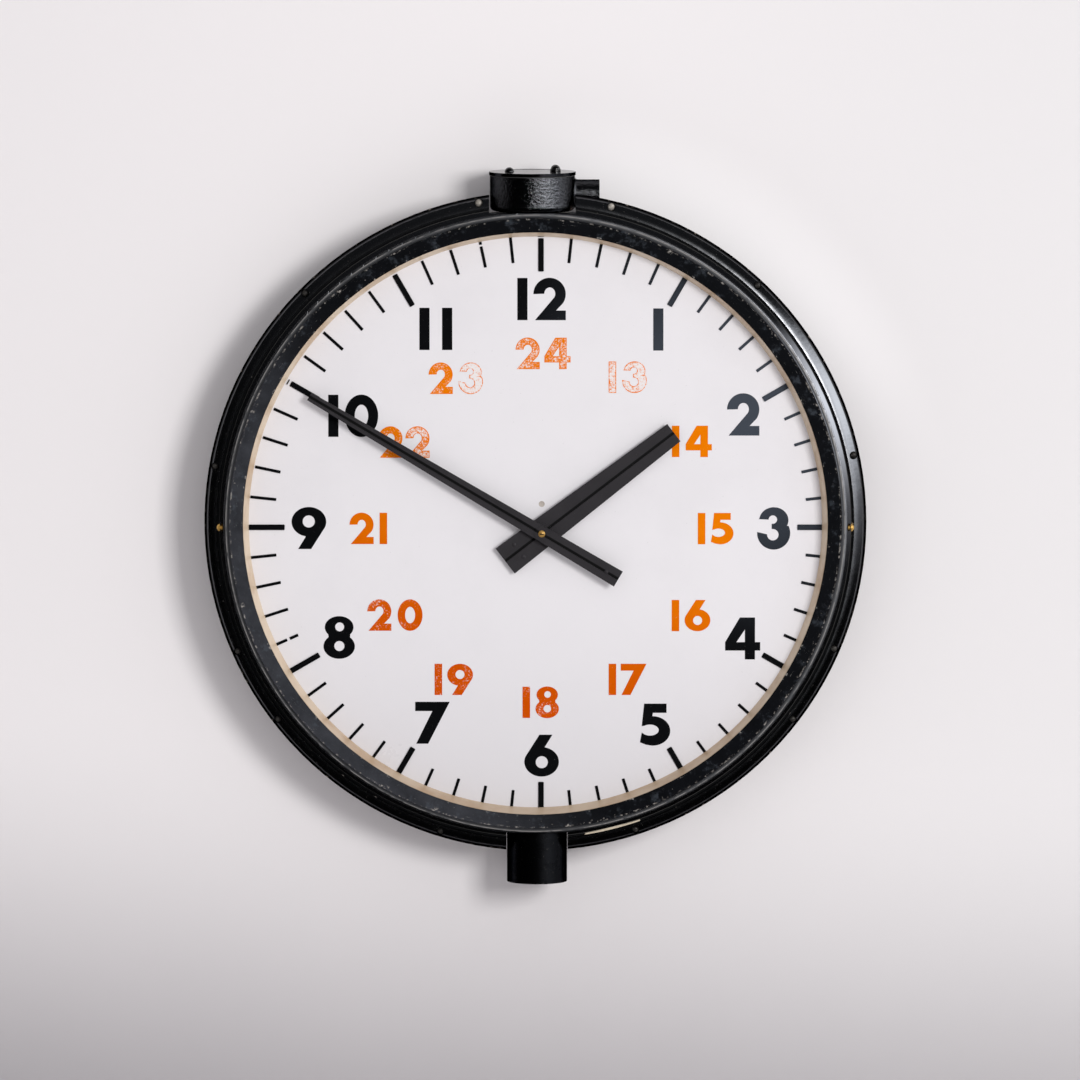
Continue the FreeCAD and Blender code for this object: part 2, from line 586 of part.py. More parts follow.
def bored_rod(name, radius, bore, length, start, toward):
    """A tube: a cylinder with a bore right through it."""
    outside = rod(f"{name}_outside", radius, length, start, toward)
    inside = rod(f"{name}_bore", bore, length, start, toward)
    return cut(name, outside, inside)


def copies(label, pattern, places):
    """A node of separate equal solids: the pattern's shape set at each place."""
    document.recompute()
    solids = []
    for place in places:
        solid = pattern.Shape.copy()
        solid.Placement = place.multiply(solid.Placement)
        solids.append(solid)
    node = document.addObject("Part::Feature", label)
    node.Shape = Part.makeCompound(solids)
    return keep(node, label)


def shifted(across, depth, height, toward="up"):
    """A place in numbers from expressions, turned so that up points in the named direction."""
    point = FreeCAD.Vector(value(across), -value(depth), value(height))
    return FreeCAD.Placement(point, TOWARD[toward])


def domed_screw(name, head, height, shank, length):
    """A slotted screw with a domed head, standing upright with its head on the origin's plane."""
    body = document.addObject("PartDesign::Body", name)
    sketch = new_sketch(body, "XZ_Plane")
    dome = f"({head} ^ 2 + ({height}) ^ 2) / (2 * ({height}))"
    trace(sketch, [
        ("0", f"-({length})"),
        (shank, f"-({length})"),
        (shank, "0"),
        (head, "0"),
        ("0", height, dome),
    ])
    revolve(body, sketch)
    slot = new_sketch(body, "XY_Plane", f"{height} - sizes.slot_depth")
    half = "sizes.screw_slot / 2"
    trace(slot, [
        (f"-({head})", f"-{half}"),
        (head, f"-{half}"),
        (head, half),
        (f"-({head})", half),
    ])
    pocket(body, slot)
    return body


# Case

def make_case():
    """The spun drum with its tapped lip, the wall fixing holes and the holes for bush and tube."""
    corner = "sizes.case_radius - sizes.back_corner"
    drum = turned_ring("back_pan", [
        ("0", "0"),
        (corner, "0"),
        ("sizes.case_radius", "sizes.back_corner", "sizes.back_corner", True),
        ("sizes.case_radius", LIP_BACK),
        ("sizes.lip_radius", LIP_BACK),
        ("sizes.lip_radius", LIP_FRONT),
        (DRUM_INNER, LIP_FRONT),
        (DRUM_INNER, "sizes.back_corner"),
        (corner, "sizes.sheet", "sizes.back_corner - sizes.sheet"),
        ("0", "sizes.sheet"),
    ])
    ring_notches(drum)
    half_across, half_high = "sizes.fixing_across / 2", "sizes.fixing_high / 2"
    drill(drum, [
        (f"{side}{half_across}", f"{end}{half_high}", "sizes.fixing_hole")
        for side in ("", "-") for end in ("", "-")
    ])
    taps = [(*place, "sizes.screw_shank") for place in screw_places() + bolt_places()]
    drill(drum, taps, "sizes.back_corner")
    bush = new_sketch(drum, "XY_Plane")
    draw_circles(bush, [("-sizes.box_shift", "-sizes.foot_depth", "sizes.bush_radius + sizes.hole_gap")])
    pocket(drum, bush)
    tube = new_sketch(drum, "XY_Plane")
    draw_circles(tube, [("sizes.tube_shift", "-sizes.foot_depth", "sizes.bush_radius")])
    pocket(drum, tube, forward=False)


def screw_places():
    """Across and up from the axis of the case, for each flange screw."""
    circle = "sizes.screw_circle"
    return [(f"{circle} * cos({angle} deg)", f"{circle} * sin({angle} deg)") for angle in SCREW_ANGLES]


def bolt_places():
    """Across and up from the axis of the case, for the two larger heads either side of the box."""
    places = []
    for across in ("(sizes.bolt_right - sizes.box_shift)", "(-sizes.bolt_left - sizes.box_shift)"):
        places.append((across, f"sqrt(sizes.screw_circle ^ 2 - {across} ^ 2)"))
    return places


def make_seat_ring():
    """The flat ring on the case lip that carries the dial, and its gasket."""
    reach = "sizes.flange_radius - sizes.rim_wall - sizes.notch_gap"
    seat = turned_ring("dial_seat_ring", [
        ("sizes.seat_inner", LIP_FRONT),
        (reach, LIP_FRONT),
        (reach, SEAT_FRONT),
        ("sizes.seat_inner", SEAT_FRONT),
    ])
    ring_notches(seat)
    hole = "sizes.screw_shank + sizes.hole_gap"
    drill(seat, [(*place, hole) for place in screw_places() + bolt_places()])
    turned_ring("dial_gasket", [
        ("sizes.seat_inner", SEAT_FRONT),
        ("sizes.dial_radius", SEAT_FRONT),
        ("sizes.dial_radius", DIAL_BACK),
        ("sizes.seat_inner", DIAL_BACK),
    ])


def make_flange_ring():
    """The cast ring with the sloping band, its sunk screw seats, the seal channel and the collar."""
    rim_inner = "sizes.flange_radius - sizes.rim_wall"
    ring = turned_ring("flange_ring", [
        (rim_inner, LIP_FRONT),
        ("sizes.flange_radius", LIP_FRONT),
        ("sizes.flange_radius", RIM_FRONT),
        ("sizes.band_inner", BAND_TOP, "sizes.band_curve", True),
        ("sizes.channel_radius", CHANNEL_FLOOR),
        ("sizes.collar_radius", CHANNEL_FLOOR),
        ("sizes.collar_radius", COLLAR_TOP),
        (COLLAR_INNER, COLLAR_TOP),
        (COLLAR_INNER, RING_UNDERSIDE),
        ("sizes.ring_web", RING_UNDERSIDE),
        ("sizes.ring_web", SEAT_FRONT),
        (rim_inner, SEAT_FRONT),
    ])
    ring_notches(ring)
    places = screw_places() + bolt_places()
    drill(ring, [(*place, "sizes.screw_shank + sizes.hole_gap") for place in places])
    drill(ring, [(*place, "sizes.dimple_radius") for place in places], f"{SEAT_FRONT} + sizes.dimple_floor")
    side_holes(ring)


def side_holes(body):
    """Bore a ring through, left and right, for the two brass bezel screws."""
    for forward in (True, False):
        sketch = new_sketch(body, "YZ_Plane")
        hole = "sizes.screw_shank + sizes.hole_gap"
        draw_circles(sketch, [(f"-{SKIRT_MIDDLE}", "-sizes.bezel_screw_drop", hole)])
        pocket(body, sketch, forward=forward)


def make_bezel():
    """The pressed bezel with its skirt, bead and flat front, its seal and the dial surround."""
    bead_inner = "sizes.skirt_top_radius - sizes.bead_drop"
    ledge_inner = f"{bead_inner} - sizes.ledge_width"
    corner = f"{ledge_inner} - sizes.front_taper"
    bezel = turned_ring("front_bezel", [
        ("sizes.skirt_foot_radius - sizes.sheet", SKIRT_FOOT),
        ("sizes.skirt_foot_radius", SKIRT_FOOT),
        ("sizes.skirt_top_radius", SKIRT_TOP),
        (bead_inner, LEDGE, "sizes.bead_radius", True),
        (ledge_inner, LEDGE),
        (corner, BEZEL_FRONT),
        ("sizes.window_radius", BEZEL_FRONT),
        ("sizes.window_radius", BEZEL_BACK),
        (f"{corner} - sizes.sheet / 2", BEZEL_BACK),
        (f"{ledge_inner} - sizes.sheet / 2", SKIRT_TOP),
        ("sizes.skirt_top_radius - sizes.sheet", SKIRT_TOP),
    ])
    ring_notches(bezel)
    side_holes(bezel)
    middle = "(sizes.skirt_foot_radius - sizes.sheet / 2)"
    seal = turned_ring("bezel_seal", [
        (f"{middle} - sizes.seal_width / 2", CHANNEL_FLOOR),
        (f"{middle} + sizes.seal_width / 2", CHANNEL_FLOOR),
        (f"{middle} + sizes.seal_width / 2", SKIRT_FOOT),
        (f"{middle} - sizes.seal_width / 2", SKIRT_FOOT),
    ])
    ring_notches(seal)
    flange_back = f"({BEZEL_BACK} - sizes.sheet)"
    turned_ring("dial_surround", [
        ("sizes.surround_foot_radius", DIAL_FRONT),
        ("sizes.surround_foot_radius + sizes.sheet", DIAL_FRONT),
        ("sizes.window_radius + sizes.sheet / 2", flange_back),
        ("sizes.surround_edge", flange_back),
        ("sizes.surround_edge", BEZEL_BACK),
        ("sizes.window_radius - sizes.sheet / 4", BEZEL_BACK),
    ])


def make_dial():
    """The dial disc, its hole for the hands' pipe and the plugged hole above it."""
    dial = turned_ring("dial", [
        ("0", DIAL_BACK),
        ("sizes.dial_radius", DIAL_BACK),
        ("sizes.dial_radius", DIAL_FRONT),
        ("0", DIAL_FRONT),
    ])
    plug_height = "sizes.plug_rise - sizes.arbor_drop"
    drill(dial, [
        ("sizes.arbor_right", "-sizes.arbor_drop", "sizes.dial_hole"),
        ("sizes.arbor_right", plug_height, "sizes.plug_radius"),
    ])
    plug = rod("plug", "sizes.plug_radius", "sizes.dial_thickness",
               ("sizes.arbor_right", DIAL_BACK, plug_height), "front")
    keep(plug, "dial_plug")


def make_ring_fasteners():
    """Flange screws, the two larger bolts beside the box and the two brass bezel screws."""
    seat = f"{SEAT_FRONT} + sizes.dimple_floor"
    length = f"{seat} - {LIP_BACK} + sizes.screw_tail"
    screw = domed_screw("flange_screw", "sizes.screw_head", "sizes.head_height", "sizes.screw_shank", length)
    bolt = domed_screw("flange_bolt", "sizes.bolt_head", "sizes.head_height", "sizes.screw_shank", length)
    for label, pattern, places in (
        ("flange_screws", screw, screw_places()),
        ("flange_bolts", bolt, bolt_places()),
    ):
        copies(label, pattern, [shifted(across, seat, height, "front") for across, height in places])
    head_seat = "sizes.skirt_foot_radius"
    side = domed_screw("bezel_screw", "sizes.bezel_screw_head", "sizes.bezel_screw_height",
                       "sizes.screw_shank", f"{head_seat} - {COLLAR_INNER} + sizes.collar_wall")
    copies("bezel_screws", side, [
        shifted(head_seat, SKIRT_MIDDLE, "-sizes.bezel_screw_drop", "right"),
        shifted(f"-{head_seat}", SKIRT_MIDDLE, "-sizes.bezel_screw_drop", "left"),
    ])


# Conduit box and socket tube

def make_box():
    """The cast conduit box: a round pot on a foot, with lid lugs and a spout to the right."""
    box = new_body("junction_box")
    put(box, "-sizes.box_shift", "sizes.pipe_depth", "0")
    pot = new_sketch(box, "XZ_Plane")
    inside = "sizes.box_radius - sizes.box_wall"
    trace(pot, [
        ("0", BOX_BASE),
        ("sizes.box_radius - sizes.box_corner", BOX_BASE),
        ("sizes.box_radius", f"{BOX_BASE} + sizes.box_corner", "sizes.box_corner"),
        ("sizes.box_radius", BOX_RIM),
        (inside, BOX_RIM),
        (inside, BOX_FLOOR),
        ("0", BOX_FLOOR),
    ])
    revolve(box, pot)
    foot_back = "sizes.pipe_depth - sizes.foot_depth"
    foot = new_sketch(box, "XY_Plane", BOX_FLOOR)
    draw_circles(foot, [("0", foot_back, "sizes.foot_radius")])
    pad(box, foot, "sizes.box_wall + sizes.pipe_rise + sizes.back_corner", backward=True)
    make_lid_lugs(box, f"({inside} + sizes.box_wall / 4)")
    set_back = "(sizes.pipe_depth - sizes.spout_depth)"
    spout_axis = (set_back, f"{BOX_BASE} + sizes.spout_rise")
    spout_start = f"(sqrt(({inside}) ^ 2 - ({set_back} + sizes.spout_radius) ^ 2) + sizes.box_wall / 4)"
    spout = new_sketch(box, "YZ_Plane", spout_start)
    draw_circles(spout, [(*spout_axis, "sizes.spout_radius")])
    pad(box, spout, f"sizes.spout_reach - {spout_start}")
    round_spout_root(box)
    bore_box(box, spout_axis)
    saddle = new_sketch(box, "XZ_Plane", "sizes.pipe_depth")
    draw_circles(saddle, [("sizes.box_shift", "0", "sizes.case_radius")])
    pocket(box, saddle, forward=False)


def round_spout_root(box):
    """Round the curved edges where the spout leaves the outside of the box."""
    solid = box.Tip
    middle_of_wall = value("sizes.box_radius - sizes.box_wall / 2")
    root = []
    for number, edge in enumerate(solid.Shape.Edges, start=1):
        middle = edge.valueAt((edge.FirstParameter + edge.LastParameter) / 2)
        outside = math.hypot(middle.x, middle.y) > middle_of_wall
        if edge.Curve.TypeId == "Part::GeomBSplineCurve" and outside:
            root.append(f"Edge{number}")
    feature = box.newObject("PartDesign::Fillet", "spout_root")
    feature.Base = (solid, root)
    feature.setExpression("Radius", "sizes.spout_root")
    document.recompute()


def make_lid_lugs(box, in_wall):
    """Two lugs that reach in from the rim, left and right, and take the lid screws."""
    for side in ("", "-"):
        lug = new_sketch(box, "XY_Plane", BOX_RIM)
        tip, root = f"{side}(sizes.lid_screw_reach - sizes.lid_lug)", f"{side}{in_wall}"
        trace(lug, [
            (root, "-sizes.lid_lug"),
            (root, "sizes.lid_lug"),
            (tip, "sizes.lid_lug"),
            (tip, "-sizes.lid_lug"),
        ])
        pad(box, lug, "sizes.lid_lug_height", backward=True)
    taps = new_sketch(box, "XY_Plane", BOX_RIM)
    draw_circles(taps, [(f"{side}sizes.lid_screw_reach", "0", "sizes.screw_shank") for side in ("", "-")])
    pocket(box, taps, "sizes.lid_lug_height", forward=False)


def bore_box(box, spout_axis):
    """Bore the spout for the conduit, and the foot for its bush."""
    conduit = new_sketch(box, "YZ_Plane", "sizes.lid_screw_reach")
    draw_circles(conduit, [(*spout_axis, "sizes.spout_bore")])
    pocket(box, conduit)
    bush = new_sketch(box, "XY_Plane", BOX_FLOOR)
    draw_circles(bush, [("0", "sizes.pipe_depth - sizes.foot_depth", "sizes.bush_radius + sizes.hole_gap")])
    pocket(box, bush, forward=False)


def make_box_lid():
    """Lid, gasket and lid screws."""
    for label, radius, level, thickness in (
        ("lid_gasket", "sizes.box_radius", BOX_RIM, "sizes.lid_gasket_thickness"),
        ("box_lid", "sizes.lid_radius", LID_BACK, "sizes.lid_thickness"),
    ):
        body = new_body(label)
        put(body, "-sizes.box_shift", "sizes.pipe_depth", "0")
        sketch = new_sketch(body, "XY_Plane", level)
        draw_circles(sketch, [("0", "0", radius)])
        pad(body, sketch, thickness)
        holes = new_sketch(body, "XY_Plane", level)
        draw_circles(holes, [(f"{side}sizes.lid_screw_reach", "0", "sizes.screw_shank + sizes.hole_gap")
                             for side in ("", "-")])
        pocket(body, holes)
    screw = domed_screw("lid_screw", "sizes.lid_screw_head", "sizes.lid_screw_height",
                        "sizes.screw_shank", "sizes.lid_screw_length")
    copies("lid_screws", screw, [
        shifted(f"-sizes.box_shift {side} sizes.lid_screw_reach", "sizes.pipe_depth", top)
        for side, top in (("-", LID_TOP), ("+", f"{LID_TOP} + sizes.loose_screw_rise"))
    ])


def make_box_fittings():
    """The hollow bush that ties the box to the drum, its nut, and the terminal block."""
    across, depth = "-sizes.box_shift", "sizes.foot_depth"
    head_top = f"({DRUM_INNER} - sizes.bush_head ^ 2 / sizes.case_radius)"
    shank_length = f"{BOX_FLOOR} + sizes.nut_height + sizes.sheet - {head_top}"
    shank = rod("bush_shank", "sizes.bush_radius", shank_length, (across, depth, head_top), "up")
    head = hexagon("bush_head", "sizes.bush_head", "sizes.nut_height", (across, depth, head_top), "down")
    bore = rod("bush_bore", "sizes.bush_bore", f"3 * (sizes.nut_height + {BOX_FLOOR} - {head_top})",
               (across, depth, f"{head_top} - 2 * sizes.nut_height"), "up")
    keep(cut("bush_cut", fuse("bush_solid", shank, head), bore), "box_bush")
    nut = hexagon("bush_nut", "sizes.bush_head", "sizes.nut_height", (across, depth, BOX_FLOOR), "up")
    thread = rod("bush_nut_hole", "sizes.bush_radius", "sizes.nut_height", (across, depth, BOX_FLOOR), "up")
    keep(cut("bush_nut_cut", nut, thread), "bush_locknut")
    make_terminal_block()


def make_terminal_block():
    """A two-way porcelain terminal block on the floor of the box, with its clamping screws."""
    across = "-sizes.box_shift - sizes.terminal_length / 2"
    front = "sizes.pipe_depth + sizes.terminal_width * 1.5"
    body = block("terminal_body", "sizes.terminal_length", "sizes.terminal_width", "sizes.terminal_height",
                 (across, front, BOX_FLOOR))
    half_height = "sizes.terminal_height / 2"
    gap = block("terminal_gap", "sizes.terminal_gap", "sizes.terminal_width", half_height,
                ("-sizes.box_shift - sizes.terminal_gap / 2", front, f"{BOX_FLOOR} + {half_height}"))
    top = f"{BOX_FLOOR} + sizes.terminal_height"
    depth = "sizes.pipe_depth + sizes.terminal_width"
    places = [(f"-sizes.box_shift {side} sizes.terminal_length / 4", depth, top) for side in ("-", "+")]
    wells = [
        rod(f"terminal_well_{index}", "sizes.screw_shank", half_height, place, "down")
        for index, place in enumerate(places)
    ]
    keep(cut("terminal_cut", body, gap, *wells), "terminal_block")
    screw = domed_screw("terminal_screw", "sizes.screw_head", "sizes.head_height",
                        "sizes.screw_shank", half_height)
    copies("terminal_screws", screw, [shifted(*place) for place in places])


def make_tube():
    """The socket tube, fitted to the drum behind the lip and cut square in front of it.

    Its bore ends in a floor next to the case, with a hole for the wires.
    """
    across, depth = "sizes.tube_shift", "sizes.pipe_depth"
    bottom = "-sizes.tube_reach"
    length = "sizes.tube_reach - sizes.case_radius + sizes.back_corner"
    pipe = rod("tube_outside", "sizes.tube_radius", length, (across, depth, bottom), "up")
    bore = rod("tube_bore", "sizes.tube_bore", "sizes.tube_stand - sizes.pipe_rise - sizes.tube_floor",
               (across, depth, bottom), "up")
    wires = rod("tube_wires", "sizes.bush_radius", length, (across, "sizes.foot_depth", bottom), "up")
    drum = rod("tube_saddle", "sizes.case_radius", "sizes.case_depth * 2", ("0", "0", "0"), "front")
    front = f"({LIP_BACK} - sizes.notch_gap)"
    trim = block("tube_trim", "4 * sizes.tube_radius", f"2 * sizes.pipe_depth + sizes.tube_radius - {front}",
                 "2 * sizes.back_corner + sizes.pipe_rise",
                 (f"{across} - 2 * sizes.tube_radius", "2 * sizes.pipe_depth + sizes.tube_radius",
                  "-sizes.case_radius - sizes.pipe_rise"))
    keep(cut("tube_cut", pipe, bore, wires, drum, trim), "socket_tube")


# Movement frame

def plate_corners():
    """Across and height of the movement plates' corners, drawn about the hands' axis."""
    return [
        ("-sizes.plate_left", "-sizes.plate_bottom"),
        ("sizes.plate_right", "-sizes.plate_bottom"),
        ("sizes.plate_right", "sizes.plate_top"),
        ("-sizes.plate_left", "sizes.plate_top"),
    ]


def pillar_places():
    """Across and height of the four pillars between the movement plates."""
    left, right = "-sizes.plate_left + sizes.pillar_inset", "sizes.plate_right - sizes.pillar_inset"
    top, bottom = "sizes.plate_top - sizes.pillar_inset", "-sizes.plate_bottom + sizes.pillar_inset"
    return [(left, top), (right, top), (left, bottom), (right, bottom)]


def post_places():
    """Across and height of the four posts that carry the movement on the back of the case."""
    left, right = "-sizes.plate_left + sizes.pillar_inset", "sizes.plate_right - sizes.pillar_inset"
    return [(left, "sizes.post_rise"), (right, "sizes.post_rise"),
            (left, "-sizes.post_fall"), (right, "-sizes.post_fall")]


def from_arbor(across, depth, height, toward="front"):
    """A place in numbers, given from the axis of the hands."""
    return shifted(f"sizes.arbor_right + ({across})", depth, f"-sizes.arbor_drop + ({height})", toward)


def about_arbor(across, depth, height):
    """A start point in expressions, given from the axis of the hands."""
    return f"sizes.arbor_right + ({across})", depth, f"-sizes.arbor_drop + ({height})"


def stepped_stud(name, radius, length, both_ends):
    """A round spacer with a threaded end above its shoulder, and one below if both ends are threaded."""
    body = document.addObject("PartDesign::Body", name)
    sketch = new_sketch(body, "XZ_Plane")
    thread, thread_length = "sizes.thread_radius", "(sizes.plate + sizes.small_nut)"
    top = f"{length} + {thread_length}"
    upper = [(radius, length), (thread, length), (thread, top), ("0", top)]
    if both_ends:
        lower = [("0", f"-{thread_length}"), (thread, f"-{thread_length}"), (thread, "0"), (radius, "0")]
    else:
        lower = [("0", "0"), (radius, "0")]
    trace(sketch, lower + upper)
    revolve(body, sketch)
    return body


def small_nut(name):
    """A hexagon nut standing upright on the origin's plane."""
    outside = hexagon(f"{name}_hexagon", "sizes.nut_radius", "sizes.small_nut", ("0", "0", "0"), "up")
    hole = rod(f"{name}_hole", "sizes.thread_radius", "sizes.small_nut", ("0", "0", "0"), "up")
    return cut(name, outside, hole)


def make_plates():
    """The two brass plates, the posts behind them, the pillars between them and their nuts."""
    hole = "sizes.thread_radius + sizes.hole_gap"
    bush = "sizes.arbor_radius + sizes.running_gap + sizes.bush_wall"
    pillars = [(*place, hole) for place in pillar_places()]
    posts = [(*place, hole) for place in post_places()]
    studs = [(*place, "sizes.thread_radius") for place in stud_places()]
    back = flat_plate("movement_back_plate", plate_corners(), BACK_PLATE_BACK, "sizes.plate")
    drill(back, pillars + posts + studs + [("0", "0", bush)])
    at_arbor(back)
    front = flat_plate("movement_front_plate", plate_corners(), FRONT_PLATE_BACK, "sizes.plate")
    across, height = (f"{STUD_DISTANCE} * {turn(STUD_ANGLE)}" for turn in (math.cos, math.sin))
    pivot = ("sizes.rocker_right", "-sizes.rocker_drop", "sizes.thread_radius")
    drill(front, pillars + [("0", "0", bush), (across, height, "sizes.thread_radius"), pivot])
    at_arbor(front)
    nut = small_nut("plate_nut")
    post_length = f"({BACK_PLATE_BACK} - sizes.sheet)"
    post = stepped_stud("case_post", "sizes.post_radius", post_length, both_ends=False)
    copies("movement_posts", post, [from_arbor(x, "sizes.sheet", z) for x, z in post_places()])
    copies("post_nuts", nut, [from_arbor(x, BACK_PLATE_FRONT, z) for x, z in post_places()])
    pillar = stepped_stud("plate_pillar", "sizes.pillar_radius", "sizes.pillar_length", both_ends=True)
    copies("plate_pillars", pillar, [from_arbor(x, BACK_PLATE_FRONT, z) for x, z in pillar_places()])
    copies("pillar_nuts", nut, [
        from_arbor(across, depth, height, toward)
        for depth, toward in ((FRONT_PLATE_FRONT, "front"), (BACK_PLATE_BACK, "back"))
        for across, height in pillar_places()
    ])


def stud_places():
    """Across and height of the studs that stand on the back plate."""
    return [
        ("sizes.rocker_right", "-sizes.rocker_drop"),
        ("-sizes.stop_reach", f"{ROCKER_TOP} + sizes.stop_gap + sizes.thread_radius"),
        ("sizes.spring_reach", f"{ROCKER_UNDERSIDE} - sizes.spring_length - sizes.thread_radius"),
        ("-sizes.click_left", "sizes.ratchet_radius + sizes.click_rise"),
    ]


def make_studs():
    """Armature pivot, armature stop, spring post and click post."""
    pivot, stop, spring, click = stud_places()
    lengths = {
        "armature_pivot": (pivot, f"{FRONT_PLATE_FRONT} - {BACK_PLATE_BACK}"),
        "armature_stop": (stop, f"{MAGNET_DEPTH} + sizes.rocker_width / 2 - {BACK_PLATE_BACK}"),
        "spring_post": (spring, f"{MAGNET_DEPTH} + sizes.rocker_width / 2 - {BACK_PLATE_BACK}"),
        "click_post": (click, f"{RATCHET_FRONT} + sizes.wheel_thickness - {BACK_PLATE_BACK}"),
    }
    for label, ((across, height), length) in lengths.items():
        start = about_arbor(across, BACK_PLATE_BACK, height)
        keep(rod(f"{label}_rod", "sizes.thread_radius", length, start, "front"), label)


# Wheels

def gear_face(teeth, phase):
    """A spur gear's face with involute flanks, one tooth centred on the phase angle."""
    module, slack = value("sizes.gear_module"), value("sizes.gear_slack")
    pitch = teeth * module / 2
    base = pitch * math.cos(PRESSURE_ANGLE)
    root, tip = pitch - 1.2 * module, pitch + 0.9 * module
    half_at_base = (math.pi / 2 - slack / module) / teeth + math.tan(PRESSURE_ANGLE) - PRESSURE_ANGLE

    def half_angle(radius):
        """Half the angle that a tooth spans at a radius."""
        pressure = math.acos(base / max(radius, base))
        return half_at_base - (math.tan(pressure) - pressure)

    points = []
    for tooth in range(teeth):
        middle = phase + 2 * math.pi * tooth / teeth
        for radius, side in ((root, -1), (pitch, -1), (tip, -1), (tip, 1), (pitch, 1), (root, 1)):
            angle = middle + side * half_angle(radius)
            points.append(FreeCAD.Vector(radius * math.cos(angle), 0, radius * math.sin(angle)))
    return Part.Face(Part.makePolygon(points + points[:1]))


def ratchet_face():
    """The ratchet wheel's face: radial fronts that face anticlockwise, and sloping backs."""
    tip = value("sizes.ratchet_radius")
    root = tip - value("sizes.tooth_depth")
    points = []
    for tooth in range(RATCHET_TEETH):
        angle = 2 * math.pi * tooth / RATCHET_TEETH
        for radius in (tip, root):
            points.append(FreeCAD.Vector(radius * math.cos(angle), 0, radius * math.sin(angle)))
    return Part.Face(Part.makePolygon(points + points[:1]))


def wheel(label, face, thickness, bore, hub_radius="0", hub_length="0", spokes=0):
    """A toothed wheel from its face, with a bore, a hub behind it and round openings between spokes."""
    forward = FreeCAD.Vector(0, -1, 0)
    length, behind = value(thickness), value(hub_length)
    rim = face.BoundBox.XMax
    solid = face.extrude(forward * length)
    if behind > 0:
        solid = solid.fuse(Part.makeCylinder(value(hub_radius), behind, forward * -behind, forward))
    for spoke in range(spokes):
        angle = 2 * math.pi * (spoke + 0.5) / spokes
        place = FreeCAD.Vector(math.cos(angle), 0, math.sin(angle)) * (SPOKE_CIRCLE * rim)
        solid = solid.cut(Part.makeCylinder(SPOKE_OPENING * rim, length, place, forward))
    solid = solid.cut(Part.makeCylinder(value(bore), length + behind, forward * -behind, forward))
    node = document.addObject("Part::Feature", label)
    node.Shape = solid.removeSplitter()
    return keep(node, label)


def make_arbor():
    """The minute arbor, its two bearing bushes and the ratchet wheel on it."""
    tail = f"({BACK_PLATE_BACK} - sizes.arbor_tail)"
    bar = rod("arbor_bar", "sizes.arbor_radius", f"{MINUTE_HAND_FRONT} - {tail}",
              about_arbor("0", tail, "0"), "front")
    tapped = rod("arbor_tap", "sizes.hand_screw_shank", "sizes.hand_screw_length",
                 about_arbor("0", MINUTE_HAND_FRONT, "0"), "back")
    keep(cut("arbor_cut", bar, tapped), "minute_arbor")
    bore = "sizes.arbor_radius + sizes.running_gap"
    outside = f"{bore} + sizes.bush_wall"
    for label, plate_back, flange_at in (
        ("back_bush", BACK_PLATE_BACK, BACK_PLATE_FRONT),
        ("front_bush", FRONT_PLATE_BACK, FRONT_PLATE_FRONT),
    ):
        barrel = rod(f"{label}_barrel", outside, "sizes.plate", about_arbor("0", plate_back, "0"), "front")
        flange = rod(f"{label}_flange", f"{outside} + sizes.bush_flange", "sizes.flange_height",
                     about_arbor("0", flange_at, "0"), "front")
        hole = rod(f"{label}_hole", bore, "sizes.plate + sizes.flange_height",
                   about_arbor("0", plate_back, "0"), "front")
        keep(cut(f"{label}_cut", fuse(f"{label}_solid", barrel, flange), hole), label)
    ratchet = wheel("ratchet_wheel", ratchet_face(), "sizes.wheel_thickness", "sizes.arbor_radius",
                    "sizes.hub_radius", "sizes.hub_length", spokes=5)
    at_arbor(ratchet, RATCHET_BACK)


